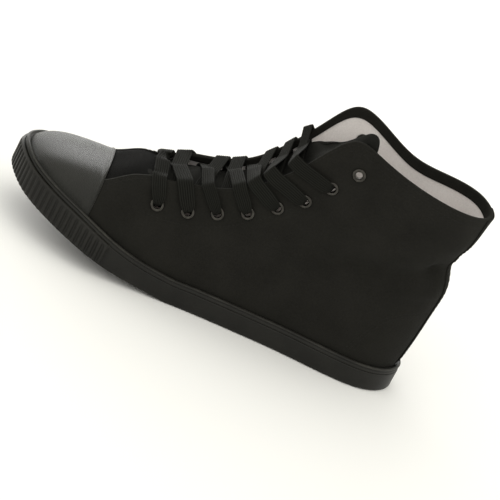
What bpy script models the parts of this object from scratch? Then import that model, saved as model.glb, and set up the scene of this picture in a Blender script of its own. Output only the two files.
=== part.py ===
"""High top canvas sneaker, left foot, standing empty on its sole.

Lengths are in metres. The toe points to -X, the outer (lateral) side of the foot is -Y and +Z is up.
The origin is on the floor, under the middle of the sole. Every piece is worked out from one surface,
the outside of the canvas upper, which is lofted from a table of profile lines round the foot.
"""

import math

import bmesh
import bpy
import numpy as np

# Driving sizes
LENGTH = 0.290
BALL_WIDTH = 0.100
COLLAR_HEIGHT = 0.157
TOE_SPRING = 0.0250
GAP = 0.0003

# Sole and the rubber strips round it
OUTSOLE_THICKNESS = 0.0090
OUTSOLE_EDGE_ROUNDING = 0.0012
FOXING_THICKNESS = 0.0030
FOXING_HEIGHT = 0.0178
FOXING_HEIGHT_AT_TOE = 0.0229
FOXING_STEP_DROP = 0.0030
FOXING_STEP_DEPTH = 0.0006
BUMPER_THICKNESS = 0.0024
RIB_DEPTH = 0.0011
RIB_PITCH = 0.0044
BUMPER_BELOW_FOXING_TOP = 0.0038
BUMPER_START = 0.715
INSOLE_THICKNESS = 0.0040

# Upper and what is laid on it
WALL = 0.0020
TOE_CAP_THICKNESS = 0.0016
TOE_CAP_REAR = 0.8035
HEEL_STRIP_THICKNESS = 0.0009
HEEL_STRIP_HALF_LINES = 0.5
HEEL_STRIP_SLOPE_LINES = 0.03
HEM_WIDTH = 0.0070
HEM_THICKNESS = 0.0008
TONGUE_THICKNESS = 0.0022
TONGUE_DEPTH = 0.0068
TONGUE_UNDER_FLAP = 0.014
TONGUE_ABOVE_COLLAR = 0.010

# Eyelets and lace
EYELET_BARREL_RADIUS = 0.0028
EYELET_FLANGE_RADIUS = 0.0047
EYELET_METAL = 0.0005
LACE_WIDTH = 0.0085
LACE_THICKNESS = 0.0012
LACED_ROWS = 7
LACE_BAR_ARCH = 0.0030
LACE_POINTS_ON_FLAP = 4
LACE_LEAVES_AT = 0.58

# Plan outline of the sole: share of LENGTH ahead of the heel, then the half widths outwards and
# inwards of the heel's centre line as shares of BALL_WIDTH
OUTLINE_COLUMNS = ("ahead", "lateral", "medial")
OUTLINE = (
    (1.000, -0.045, 0.045),
    (0.983, 0.134, 0.224),
    (0.950, 0.285, 0.354),
    (0.900, 0.389, 0.439),
    (0.830, 0.471, 0.490),
    (0.740, 0.517, 0.475),
    (0.640, 0.470, 0.395),
    (0.520, 0.398, 0.310),
    (0.400, 0.362, 0.292),
    (0.280, 0.342, 0.318),
    (0.160, 0.347, 0.340),
    (0.070, 0.302, 0.292),
    (0.018, 0.168, 0.165),
    (0.000, 0.000, 0.000),
)

# Profile lines of the upper, from the top of the foxing to the throat or collar edge. foot and
# top_ahead are shares of LENGTH, top_out and lean of BALL_WIDTH, top_up, rise and drop of
# COLLAR_HEIGHT. inner_ahead and inner_up take the place of top_ahead and top_up on the inner side.
# rise and lean set how the wall leaves the foxing. reach, a share of the way in plan back to the
# foot, and drop set how it arrives at the edge.
PROFILE_COLUMNS = (
    "foot", "top_ahead", "top_out", "top_up", "inner_ahead", "inner_up", "rise", "lean", "reach", "drop",
)
PROFILES = (
    (1.000, 0.707, 0.000, 0.452, 0.707, 0.452, 0.100, -0.020, 0.80, 0.072),
    (0.965, 0.706, 0.085, 0.452, 0.706, 0.452, 0.097, -0.015, 0.80, 0.073),
    (0.905, 0.702, 0.165, 0.448, 0.702, 0.450, 0.085, -0.005, 0.76, 0.082),
    (0.830, 0.684, 0.225, 0.454, 0.685, 0.460, 0.075, 0.005, 0.66, 0.100),
    (0.745, 0.647, 0.250, 0.478, 0.650, 0.492, 0.085, 0.012, 0.52, 0.125),
    (0.660, 0.586, 0.250, 0.512, 0.588, 0.528, 0.105, 0.015, 0.46, 0.145),
    (0.580, 0.524, 0.250, 0.567, 0.527, 0.583, 0.140, 0.012, 0.42, 0.165),
    (0.500, 0.472, 0.258, 0.656, 0.480, 0.666, 0.180, 0.015, 0.38, 0.195),
    (0.425, 0.429, 0.270, 0.758, 0.442, 0.762, 0.210, 0.015, 0.34, 0.215),
    (0.355, 0.395, 0.285, 0.866, 0.408, 0.862, 0.235, 0.015, 0.28, 0.225),
    (0.295, 0.364, 0.295, 0.951, 0.375, 0.960, 0.240, 0.015, 0.24, 0.235),
    (0.240, 0.326, 0.305, 0.984, 0.334, 1.000, 0.240, 0.014, 0.20, 0.245),
    (0.185, 0.262, 0.325, 0.957, 0.266, 0.957, 0.240, 0.014, 0.18, 0.240),
    (0.125, 0.179, 0.335, 0.924, 0.180, 0.896, 0.240, 0.016, 0.18, 0.225),
    (0.065, 0.090, 0.290, 0.898, 0.092, 0.899, 0.240, 0.026, 0.25, 0.210),
    (0.022, 0.017, 0.170, 0.880, 0.014, 0.908, 0.220, 0.044, 0.70, 0.203),
    (0.000, -0.021, 0.000, 0.882, -0.021, 0.882, 0.181, 0.058, 1.67, 0.212),
)

# Eyelets from the toe end, on both sides: the profile line and the v that each stands at, and the
# line where its lace passes the edge of the flap
EYELET_COLUMNS = ("line", "v", "lace_edge")
EYELETS = (
    (4.250, 0.6775, 2.85),
    (5.150, 0.7025, 4.25),
    (6.000, 0.7275, 5.05),
    (6.950, 0.7200, 5.80),
    (7.925, 0.7200, 6.60),
    (8.950, 0.7075, 7.35),
    (10.025, 0.7450, 8.15),
    (11.175, 0.8425, 10.00),
)

# Folds of the slack shaft, seen from the side: a soft trough or ridge along a line. Places are
# shares of LENGTH ahead and of COLLAR_HEIGHT up, width of COLLAR_HEIGHT, depth of BALL_WIDTH.
FOLD_COLUMNS = ("ahead_a", "up_a", "ahead_b", "up_b", "width", "depth")
FOLDS = (
    (-0.040, 0.675, 0.030, 0.600, 0.064, 0.054),
    (0.030, 0.600, 0.206, 0.500, 0.070, 0.024),
    (0.206, 0.500, 0.386, 0.432, 0.080, 0.014),
    (-0.040, 0.500, 0.140, 0.400, 0.070, -0.003),
)

LINES = 2 * (len(PROFILES) - 1)
BACK_LINE = len(PROFILES) - 1
PLAIN_LINES = (5, 10)
WALL_ROWS = (0, 0.08, 0.16, 0.25, 0.35, 0.45, 0.54, 0.60, 0.655, 0.72, 0.80, 0.90, 1.0)
EYELET_SIDES = 9


def column(table, columns, name):
    """One named column of a table as an array."""
    return np.array([row[columns.index(name)] for row in table])


def spline(knots, values, period=None):
    """A cubic spline through values at knots, as a function. With a period it closes on itself."""
    x = np.asarray(knots, float)
    y = np.asarray(values, float)
    if period is not None:
        x = np.append(x, x[0] + period)
        y = np.append(y, y[:1], axis=0)
    n = len(x)
    h = np.diff(x)
    slope = np.diff(y, axis=0) / (h if y.ndim == 1 else h[:, None])
    a = np.zeros((n, n))
    b = np.zeros_like(y)
    for i in range(1, n - 1):
        a[i, i - 1 : i + 2] = h[i - 1], 2 * (h[i - 1] + h[i]), h[i]
        b[i] = 6 * (slope[i] - slope[i - 1])
    if period is None:
        a[0, 0] = a[-1, -1] = 1
    else:
        a[0, 0], a[0, 1], a[0, n - 2] = 2 * (h[-1] + h[0]), h[0], h[-1]
        b[0] = 6 * (slope[0] - slope[-1])
        a[-1, 0], a[-1, -1] = 1, -1
    bend = np.linalg.solve(a, b)

    def curve(at):
        at = np.asarray(at, float)
        if period is not None:
            at = x[0] + np.mod(at - x[0], period)
        i = np.clip(np.searchsorted(x, at, side="right") - 1, 0, n - 2)
        t, width = at - x[i], h[i]
        if y.ndim > 1:
            t, width = t[..., None], width[..., None]
        left, right = bend[i], bend[i + 1]
        rate = slope[i] - width * (2 * left + right) / 6
        return y[i] + t * (rate + t * (left / 2 + t * (right - left) / (6 * width)))

    return curve


def smooth_step(x, low, high):
    """0 below low, 1 above high, and a soft rise between."""
    t = np.clip((np.asarray(x, float) - low) / (high - low), 0, 1)
    return t * t * (3 - 2 * t)


def place(ahead, out, up):
    """Points in the object's frame from distances ahead of the heel, towards the outer side and up."""
    return np.stack(np.broadcast_arrays(LENGTH / 2 - ahead, -np.asarray(out), up), axis=-1)


def floor_height(ahead):
    """How far toe spring lifts the bottom of the sole off the floor."""
    start, bend = 0.56, 1.2
    return TOE_SPRING * np.clip((np.asarray(ahead) / LENGTH - start) / (1 - start), 0, None) ** bend


def foxing_height(ahead):
    """Height of the foxing strip above the bottom of the sole: taller round the toe."""
    rise = smooth_step(np.asarray(ahead) / LENGTH, 0.62, 0.84)
    return FOXING_HEIGHT + (FOXING_HEIGHT_AT_TOE - FOXING_HEIGHT) * rise


def closed_outline():
    """The sole's plan outline as two functions of a share round it: the point, and the way out of it.
    The share runs from the toe along the outer side to the heel and back along the inner side."""
    ahead = column(OUTLINE, OUTLINE_COLUMNS, "ahead") * LENGTH
    lateral = column(OUTLINE, OUTLINE_COLUMNS, "lateral") * BALL_WIDTH
    medial = column(OUTLINE, OUTLINE_COLUMNS, "medial") * BALL_WIDTH
    points = np.concatenate(
        [
            np.stack([ahead, lateral], axis=1),
            np.stack([ahead, -medial], axis=1)[-2:0:-1],
        ]
    )
    steps = np.linalg.norm(np.diff(np.append(points, points[:1], axis=0), axis=0), axis=1)
    knots = np.concatenate([[0], np.cumsum(steps)[:-1]]) / steps.sum()
    curve = spline(knots, points, period=1.0)

    def outward(share):
        step = 1e-4
        along = curve(share + step) - curve(share - step)
        normal = np.stack([along[..., 1], -along[..., 0]], axis=-1)
        return normal / np.linalg.norm(normal, axis=-1, keepdims=True)

    return curve, outward, knots[len(OUTLINE) - 1]


OUTLINE_AT, OUTWARD_AT, HEEL_SHARE = closed_outline()


def share_of_foot(foot, outer_side):
    """The share round the outline that stands a given share of LENGTH ahead of the heel."""
    low, high = (0.0, HEEL_SHARE) if outer_side else (HEEL_SHARE, 1.0)
    shares = np.linspace(low, high, 600)
    ahead = OUTLINE_AT(shares)[:, 0] / LENGTH
    order = np.argsort(ahead)
    return np.interp(foot, ahead[order], shares[order])


def profile_rings():
    """Functions of the line number, from the toe along the outer side to the back and round again:
    the share of the outline that a profile line stands on, its top point, and its handles."""
    rows = {name: column(PROFILES, PROFILE_COLUMNS, name) for name in PROFILE_COLUMNS}
    feet = rows["foot"]
    outer = share_of_foot(feet[1:-1], True)
    inner = share_of_foot(feet[1:-1], False)[::-1]
    shares = np.concatenate([[0.0], outer, [HEEL_SHARE], inner])
    both = {name: np.append(v, v[-2:0:-1]) for name, v in rows.items()}
    is_outer = np.arange(LINES) <= BACK_LINE
    tops = np.stack(
        [
            np.where(is_outer, both["top_ahead"], both["inner_ahead"]) * LENGTH,
            np.where(is_outer, both["top_out"], -both["top_out"]) * BALL_WIDTH,
            np.where(is_outer, both["top_up"], both["inner_up"]) * COLLAR_HEIGHT,
        ],
        axis=1,
    )
    handles = np.stack(
        [
            both["rise"] * COLLAR_HEIGHT,
            both["lean"] * BALL_WIDTH,
            both["reach"],
            both["drop"] * COLLAR_HEIGHT,
        ],
        axis=1,
    )
    numbers = np.arange(LINES)
    drift = spline(numbers, shares - numbers / LINES, period=LINES)
    return drift, spline(numbers, tops, period=LINES), spline(numbers, handles, period=LINES)


SHARE_DRIFT, TOP_AT, HANDLES_AT = profile_rings()


def outline_share(line):
    """Share round the sole's outline where a profile line stands."""
    line = np.asarray(line, float)
    return line / LINES + SHARE_DRIFT(line)


def side_point(line, inset, height):
    """A point of the sole's side, inset from its outline and at a height above the sole's bottom."""
    share = outline_share(line)
    flat = OUTLINE_AT(share) - OUTWARD_AT(share) * np.asarray(inset)[..., None]
    return np.stack([flat[..., 0], flat[..., 1], floor_height(flat[..., 0]) + height], axis=-1)


def fold_depth(points):
    """How far the slack shaft is pressed in at points given as ahead, out and up."""
    depth = np.zeros(points.shape[:-1])
    flat = points[..., (0, 2)] / (LENGTH, COLLAR_HEIGHT)
    aspect = np.array([LENGTH / COLLAR_HEIGHT, 1.0])
    for row in FOLDS:
        fold = dict(zip(FOLD_COLUMNS, row))
        a = np.array([fold["ahead_a"], fold["up_a"]])
        b = np.array([fold["ahead_b"], fold["up_b"]])
        along = (b - a) * aspect
        share = np.clip(((flat - a) * aspect) @ along / (along @ along), 0, 1)
        away = np.linalg.norm((flat - a) * aspect - share[..., None] * along, axis=-1)
        depth += fold["depth"] * BALL_WIDTH * np.exp(-((away / fold["width"]) ** 2))
    return depth


def loft(line, v):
    """The smooth outside of the upper, before folds: v is 0 on the foxing's top and 1 at the edge."""
    line, v = np.broadcast_arrays(np.asarray(line, float), np.asarray(v, float))
    inset = np.full(line.shape, FOXING_THICKNESS + GAP)
    share = outline_share(line)
    foot = side_point(line, inset, foxing_height(OUTLINE_AT(share)[..., 0]))
    out = OUTWARD_AT(share)
    top = TOP_AT(line)
    rise, lean, reach, drop = np.moveaxis(HANDLES_AT(line), -1, 0)
    low = foot + np.stack([out[..., 0] * lean, out[..., 1] * lean, rise], axis=-1)
    high = top + reach[..., None] * (low - top)
    high[..., 2] = top[..., 2] - drop
    t = v[..., None]
    s = 1 - t
    return s**3 * foot + 3 * s * s * t * low + 3 * s * t * t * high + t**3 * top


def loft_normal(line, v):
    """Unit vectors out of the upper."""
    line, v = np.broadcast_arrays(np.asarray(line, float), np.asarray(v, float))
    dl, dv = 0.02, 0.004
    across = loft(line + dl, v) - loft(line - dl, v)
    upward = loft(line, np.minimum(v + dv, 1)) - loft(line, np.maximum(v - dv, 0))
    normal = np.cross(across, upward)
    return normal / np.linalg.norm(normal, axis=-1, keepdims=True)


def upper(line, v, depth=0.0):
    """A point of the upper, depth below its outside, in ahead, out and up."""
    points = loft(line, v)
    calm = smooth_step(v, 0.0, 0.12)
    pressed = fold_depth(points) * calm + depth
    return points - loft_normal(line, v) * pressed[..., None]


def in_frame(points):
    return place(points[..., 0], points[..., 1], points[..., 2])


def v_below_edge(line, distance):
    """The v that lies a distance down a profile line from the throat or collar edge."""
    vs = np.linspace(0, 1, 81)
    points = upper(np.full(81, float(line)), vs)
    steps = np.linalg.norm(np.diff(points, axis=0), axis=1)
    below = np.append(np.cumsum(steps[::-1])[::-1], 0)
    return float(np.interp(-distance, -below, vs))


def material(name, colour, roughness, metallic=0.0):
    made = bpy.data.materials.new(name)
    made.use_nodes = True
    shader = made.node_tree.nodes["Principled BSDF"]
    shader.inputs["Base Color"].default_value = (*colour, 1.0)
    shader.inputs["Roughness"].default_value = roughness
    shader.inputs["Metallic"].default_value = metallic
    return made


def patch_solid(name, patches, finish):
    """One closed object from rectangular patches of points that meet along their borders."""
    corners, faces = [], []
    for patch in patches:
        rows, cols = patch.shape[:2]
        base = len(corners)
        corners.extend(map(tuple, patch.reshape(-1, 3)))
        for i in range(rows - 1):
            for j in range(cols - 1):
                at = base + i * cols + j
                faces.append((at, at + 1, at + cols + 1, at + cols))
    mesh = bpy.data.meshes.new(name)
    mesh.from_pydata(corners, [], faces)
    work = bmesh.new()
    work.from_mesh(mesh)
    bmesh.ops.remove_doubles(work, verts=work.verts, dist=2e-6)
    bmesh.ops.dissolve_degenerate(work, edges=work.edges, dist=1e-7)
    bmesh.ops.recalc_face_normals(work, faces=work.faces)
    work.to_mesh(mesh)
    work.free()
    mesh.shade_smooth()
    mesh.set_sharp_from_angle(angle=math.radians(35))
    mesh.materials.append(finish)
    made = bpy.data.objects.new(name, mesh)
    bpy.context.scene.collection.objects.link(made)
    return made


def slab(name, outside, inside, finish, closed=False):
    """A solid between two grids of points. A closed one runs round on itself along its columns."""
    patches = [outside, inside]
    patches.append(np.stack([outside[0], inside[0]]))
    patches.append(np.stack([outside[-1], inside[-1]]))
    if not closed:
        patches.append(np.stack([outside[:, 0], inside[:, 0]]))
        patches.append(np.stack([outside[:, -1], inside[:, -1]]))
    return patch_solid(name, patches, finish)


def ring_lines():
    """Line numbers of the columns once round the shoe: halves too, but for the plain sides."""
    half = []
    for line in range(BACK_LINE):
        half.append(float(line))
        if not PLAIN_LINES[0] <= line < PLAIN_LINES[1]:
            half.append(line + 0.5)
    half.insert(-1, BACK_LINE - HEEL_STRIP_HALF_LINES - HEEL_STRIP_SLOPE_LINES)
    back = [LINES - line for line in half[::-1]]
    return np.array([*half, float(BACK_LINE), *back])


RING = ring_lines()
FACETS = {}


def on_facets(line, v, depth):
    """A point on the upper's flat facets, or on the same facets a depth below them."""
    if depth not in FACETS:
        grid_line, grid_v = np.meshgrid(RING, WALL_ROWS)
        FACETS[depth] = upper(grid_line, grid_v, np.full(grid_v.shape, depth))
    grid = FACETS[depth]
    line, v = np.broadcast_arrays(np.mod(np.asarray(line, float), LINES), np.asarray(v, float))
    j = np.clip(np.searchsorted(RING, line, side="right") - 1, 0, len(RING) - 2)
    i = np.clip(np.searchsorted(WALL_ROWS, v, side="right") - 1, 0, len(WALL_ROWS) - 2)
    rows = np.array(WALL_ROWS)
    s = ((line - RING[j]) / (RING[j + 1] - RING[j]))[..., None]
    t = ((v - rows[i]) / (rows[i + 1] - rows[i]))[..., None]
    low = (1 - s) * grid[i, j] + s * grid[i, j + 1]
    high = (1 - s) * grid[i + 1, j] + s * grid[i + 1, j + 1]
    return (1 - t) * low + t * high


def once_round(points):
    """The same grid with its last column set on its first, so that it closes exactly."""
    points = points.copy()
    points[:, -1] = points[:, 0]
    return points


def heel_strip_height(line, v):
    """How far the strip over the back seam stands out of the wall, from nothing at the foxing."""
    covered = np.abs(np.mod(line, LINES) - BACK_LINE) < HEEL_STRIP_HALF_LINES + HEEL_STRIP_SLOPE_LINES / 2
    return HEEL_STRIP_THICKNESS * covered * np.clip(v / WALL_ROWS[1], 0, 1)


def build_upper(finish):
    """The canvas upper: one wall, open at the throat and collar, and underneath. The strip over the
    back seam is a step in its outside, and the hem round the throat and collar one in its inside."""
    grid_line, grid_v = np.meshgrid(RING, WALL_ROWS)
    foot = side_point(RING, np.full(RING.shape, FOXING_THICKNESS + GAP), OUTSOLE_THICKNESS + GAP)
    wall = upper(grid_line, grid_v, -heel_strip_height(grid_line, grid_v))
    outside = once_round(in_frame(np.concatenate([foot[None], wall])))
    hem = np.array([v_below_edge(line, HEM_WIDTH) for line in RING])
    rows = [np.full(RING.shape, v) for v in WALL_ROWS[:-2]] + [hem, hem, np.ones(RING.shape)]
    thicker = [0.0] * (len(rows) - 2) + [HEM_THICKNESS] * 2
    foot = side_point(RING, np.full(RING.shape, FOXING_THICKNESS + GAP + WALL), OUTSOLE_THICKNESS + GAP)
    wall = [upper(RING, v, np.full(RING.shape, WALL + step)) for v, step in zip(rows, thicker)]
    inside = once_round(in_frame(np.stack([foot, *wall])))
    return slab("upper", outside, inside, finish, closed=True)


def eyelet_places(outer_side):
    """Line number and v of each eyelet of one side from the toe end, and the line of its lace's edge."""
    if outer_side:
        return list(EYELETS)
    return [(LINES - line, v, LINES - lace_edge) for line, v, lace_edge in EYELETS]


def frame_at(line, v):
    """Centre and three axes on the upper in the object's frame: along it, up it and out of it. The
    centre is raised to where a flat flange clears the curve of the upper."""
    step = 0.02
    middle = upper(np.array(line), np.array(v))
    per_line = np.linalg.norm(upper(np.array(line + step), np.array(v)) - middle) / step
    per_v = np.linalg.norm(upper(np.array(line), np.array(v + step)) - middle) / step
    angles = np.linspace(0, 2 * math.pi, 13)[:-1]
    far_lines = line + np.cos(angles) * EYELET_FLANGE_RADIUS / per_line
    far_vs = v + np.sin(angles) * EYELET_FLANGE_RADIUS / per_v
    rim = in_frame(upper(far_lines, far_vs))
    centre = in_frame(middle)
    along = rim[0] - rim[6]
    along /= np.linalg.norm(along)
    out = np.cross(along, rim[3] - rim[9])
    out /= np.linalg.norm(out)
    if out @ (loft_normal(np.array(line), np.array(v)) * (-1, -1, 1)) < 0:
        out = -out
    lift = max(0.0, float(np.max((rim - centre) @ out)))
    return centre + out * lift, along, np.cross(out, along), out


def turned(centre, axes, profile, sides):
    """Grid of points of a profile of (radius, height) turned about the third axis at centre."""
    along, across, out = axes
    angles = np.linspace(0, 2 * math.pi, sides + 1)
    ring = np.cos(angles)[:, None] * along + np.sin(angles)[:, None] * across
    ring[-1] = ring[0]
    return np.stack([centre + r * ring + h * out for r, h in profile])


def build_eyelet(name, spot, finish):
    """A metal eyelet: a flange outside the canvas, a barrel through it and a rolled edge inside."""
    centre, along, across, out = frame_at(*spot[:2])
    clear = GAP + 0.0003
    bore = EYELET_BARREL_RADIUS - EYELET_METAL
    flange = EYELET_FLANGE_RADIUS
    rolled = EYELET_BARREL_RADIUS + 0.0011
    inside = -WALL - clear
    profile = (
        (EYELET_BARREL_RADIUS, clear + 0.0010),
        (flange, clear + EYELET_METAL),
        (flange - 0.0004, clear),
        (EYELET_BARREL_RADIUS, clear),
        (EYELET_BARREL_RADIUS, inside),
        (rolled, inside),
        (rolled, inside - EYELET_METAL),
        (bore, inside - EYELET_METAL),
        (EYELET_BARREL_RADIUS, clear + 0.0010),
    )
    grid = turned(centre, (along, across, out), profile, EYELET_SIDES)
    return patch_solid(name, [grid], finish)


def cut_eyelet_holes(target, spots, finish):
    """Cuts the eyelet holes through the upper with one helper object."""
    radius = EYELET_BARREL_RADIUS + GAP
    patches = []
    for spot in spots:
        centre, *axes = frame_at(*spot[:2])
        profile = ((0, 0.006), (radius, 0.006), (radius, -0.008), (0, -0.008))
        patches.append(turned(centre, axes, profile, EYELET_SIDES))
    cutter = patch_solid("eyelet_hole_cutter", patches, finish)
    cutter.hide_render = True
    cutter.display_type = "WIRE"
    holes = target.modifiers.new("eyelet holes", "BOOLEAN")
    holes.operation = "DIFFERENCE"
    holes.object = cutter
    holes.solver = "EXACT"


def ring_solid(name, section, finish, lines):
    """A closed strip round the shoe. section gives (inset, height) for each of its points."""
    rows = []
    for inset, height in section(lines):
        rows.append(in_frame(side_point(lines, inset, height)))
    rows.append(rows[0])
    return patch_solid(name, [once_round(np.stack(rows))], finish)


def build_foxing(finish):
    """The smooth rubber strip round the sole's side, with a thinner band along its top."""

    def section(lines):
        top = foxing_height(OUTLINE_AT(outline_share(lines))[:, 0])
        step = top - FOXING_STEP_DROP
        same = np.ones(lines.shape)
        t = FOXING_THICKNESS
        return (
            (t * same, GAP * same),
            (0.0006 * same, GAP * same),
            (0.0 * same, 0.0012 * same),
            (0.0 * same, step - 0.0006),
            (FOXING_STEP_DEPTH * same, step),
            (FOXING_STEP_DEPTH * same, top - 0.0008),
            (0.0016 * same, top),
            (t * same, top),
        )

    return ring_solid("foxing", section, finish, RING)


def plate(name, inset, rims, finish):
    """A plate of the sole's outline. rims are (extra inset, height) pairs, from the middle of one
    face round its edge to the middle of the other. The middle is a line down the plate's length."""
    lines = RING
    rows = []
    for extra, height in rims:
        far = np.full(lines.shape, inset + extra)
        rows.append(side_point(lines, far, np.full(lines.shape, height)))
    spines = [(ring + ring[::-1]) / 2 for ring in (rows[0], rows[-1])]
    rows = [spines[0], *rows, spines[1]]
    return patch_solid(name, [in_frame(once_round(np.stack(rows)))], finish)


def build_outsole(finish):
    edge = OUTSOLE_EDGE_ROUNDING
    rims = (
        (0.018, 0.0),
        (edge, 0.0),
        (0.0, edge),
        (0.0, OUTSOLE_THICKNESS),
        (0.018, OUTSOLE_THICKNESS),
    )
    return plate("outsole", FOXING_THICKNESS + GAP, rims, finish)


def build_insole(finish):
    low = OUTSOLE_THICKNESS + 2 * GAP
    high = low + INSOLE_THICKNESS
    rims = ((0.018, low), (0.0, low), (0.0, high), (0.018, high))
    return plate("insole", FOXING_THICKNESS + GAP + WALL + 2 * GAP, rims, finish)


def bumper_ends():
    """Line numbers where the ribbed bumper starts on the outer and inner side."""
    lines = np.linspace(0, BACK_LINE, 400)
    ahead = OUTLINE_AT(outline_share(lines))[:, 0]
    outer = np.interp(-BUMPER_START * LENGTH, -ahead, lines)
    ahead = OUTLINE_AT(outline_share(LINES - lines))[:, 0]
    inner = np.interp(-BUMPER_START * LENGTH, -ahead, lines)
    return -inner, outer


def build_bumper(finish):
    """The ribbed rubber strip round the toe, outside the foxing: flat ribs with grooves between."""
    low, high = bumper_ends()
    dense = np.linspace(low, high, 400)
    flat = side_point(dense, np.zeros(400), 0.0)
    along = np.append(0, np.cumsum(np.linalg.norm(np.diff(flat, axis=0), axis=1)))
    ribs = int(round(along[-1] / RIB_PITCH))
    pitch = along[-1] / ribs
    shape = ((0.10, 0.0), (0.28, 1.0), (0.72, 1.0), (0.90, 0.0))
    steps = [((k + share) * pitch, crest) for k in range(ribs) for share, crest in shape]
    steps = [(0.0, 0.0), *steps, (along[-1], 0.0)]
    lines = np.interp([s for s, _ in steps], along, dense)
    crest = np.array([c for _, c in steps])
    top = foxing_height(OUTLINE_AT(outline_share(lines))[:, 0]) - BUMPER_BELOW_FOXING_TOP
    face = -(GAP + BUMPER_THICKNESS - RIB_DEPTH * (1 - crest))
    back = -GAP * np.ones(lines.shape)
    low_edge = np.full(lines.shape, 0.0016)
    section = (
        (back, low_edge),
        (face, low_edge),
        (face, top - 0.0010),
        (back, top),
    )
    rows = [in_frame(side_point(lines, inset, height)) for inset, height in section]
    rows.append(rows[0])
    grid = np.stack(rows)
    ends = [np.stack([grid[[0, 1], col], grid[[3, 2], col]]) for col in (0, -1)]
    return patch_solid("toe_bumper", [grid, *ends], finish)


def v_at_ahead(line, ahead):
    """The v where a profile line passes a distance ahead of the heel, or 0 if it starts behind it."""
    vs = np.linspace(0, 1, 161)
    reached = on_facets(np.full(161, float(line)), vs, 0.0)[:, 0]
    if reached[0] <= ahead:
        return 0.0
    return float(np.interp(-ahead, -reached, vs))


def build_toe_cap(finish):
    """The rubber toe cap over the toe of the upper, cut straight across at its rear."""
    rear = TOE_CAP_REAR * LENGTH
    start = 0.014
    lines = np.linspace(-5, 5, 401)
    ends = np.array([v_at_ahead(line, rear) for line in lines])
    reach = lines[ends > start + 0.03]
    ring = np.concatenate([RING[:-1] - LINES, RING])
    ring = ring[(ring > reach[0] + 0.1) & (ring < reach[-1] - 0.1)]
    inner = np.linspace(reach[0], ring[0], 4)[:-1]
    outer = np.linspace(ring[-1], reach[-1], 4)[1:]
    lines = np.concatenate([inner, ring, outer])
    ends = np.array([v_at_ahead(line, rear) for line in lines])
    rows = np.array([start, *WALL_ROWS[1:-1]])
    vs = np.minimum(rows[:, None], ends[None, :])
    grid_line = np.broadcast_to(lines, vs.shape)
    skins = [in_frame(on_facets(grid_line, vs, depth)) for depth in (-1.8 * GAP - TOE_CAP_THICKNESS, -1.8 * GAP)]
    skins[0][0, :, 2] = skins[1][0, :, 2]
    return slab("toe_cap", skins[0], skins[1], finish)


# Stations of the tongue: the profile line whose edge it passes, and how far its middle stands
# above the line between the two flaps' edges, as a share of BALL_WIDTH
TONGUE_COLUMNS = ("line", "crown")
TONGUE = (
    (3.60, -0.050),
    (4.50, -0.051),
    (5.50, -0.058),
    (6.50, -0.062),
    (7.50, -0.064),
    (8.50, -0.064),
    (9.50, -0.062),
    (10.50, -0.058),
    (11.20, -0.062),
)
TONGUE_POINTS = 13


def tongue_under_vamp(reach, below):
    """A row of the tongue's front, under the vamp: reach is in lines each side of the toe's middle."""
    lines = np.linspace(reach, -reach, TONGUE_POINTS)
    vs = np.array([v_below_edge(line % LINES, below) for line in lines])
    return upper(lines, vs, np.full(TONGUE_POINTS, TONGUE_DEPTH))


def tongue_section(line, crown):
    """Points across the tongue at one station, from its outer to its inner side."""
    anchors = []
    for at, sign in ((line, 1), (LINES - line, -1)):
        vs = np.array([v_below_edge(at, TONGUE_UNDER_FLAP), v_below_edge(at, 0.4 * TONGUE_UNDER_FLAP)])
        depths = np.array([TONGUE_DEPTH, TONGUE_DEPTH + 0.0030])
        side = upper(np.full(2, float(at)), vs, depths)
        anchors.append(side if sign > 0 else side[::-1])
    left, right = anchors
    near, _, near_past = edge_frame(line)
    far, _, far_past = edge_frame(LINES - line)
    raised = (near_past + far_past) / np.linalg.norm(near_past + far_past)
    centre = (near + far) / 2 + raised * crown * BALL_WIDTH
    chain = np.concatenate([left, centre[None], right])
    steps = np.linalg.norm(np.diff(chain, axis=0), axis=1)
    knots = np.append(0, np.cumsum(steps))
    return spline(knots, chain)(np.linspace(0, knots[-1], TONGUE_POINTS))


def build_tongue(finish):
    """The tongue: a curved sheet under the flaps, from beneath the vamp to above the collar."""
    rows = [tongue_under_vamp(2.0, 0.013), tongue_under_vamp(2.7, 0.004)]
    rows += [tongue_section(line, crown) for line, crown in TONGUE]
    rise = rows[-1] - rows[-2]
    rise /= np.linalg.norm(rise, axis=1, keepdims=True)
    across = np.linspace(-1, 1, TONGUE_POINTS)[:, None]
    rows.append(rows[-1] + rise * TONGUE_ABOVE_COLLAR * (1 - 0.35 * across**4))
    outside = in_frame(np.stack(rows))
    along = np.gradient(outside, axis=0)
    across = np.gradient(outside, axis=1)
    normal = np.cross(along, across)
    normal /= np.linalg.norm(normal, axis=-1, keepdims=True)
    if normal[2, TONGUE_POINTS // 2, 2] < 0:
        normal = -normal
    return slab("tongue", outside, outside - normal * TONGUE_THICKNESS, finish)


def strip(points, normals, width, thickness):
    """Grids for a flat strip along points, its flat side facing the normals."""
    points = np.asarray(points)
    along = np.gradient(points, axis=0)
    along /= np.linalg.norm(along, axis=1, keepdims=True)
    across = np.cross(along, normals)
    across /= np.linalg.norm(across, axis=1, keepdims=True)
    facing = np.cross(across, along)
    corners = ((-1, -1), (1, -1), (1, 1), (-1, 1), (-1, -1))
    rows = []
    for a, b in corners:
        rows.append(points + across * a * width / 2 + facing * b * thickness / 2)
    grid = np.stack(rows)
    caps = []
    for col in (0, -1):
        caps.append(np.stack([grid[[0, 1], col], grid[[3, 2], col]]))
    return [grid, *caps]


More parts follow.
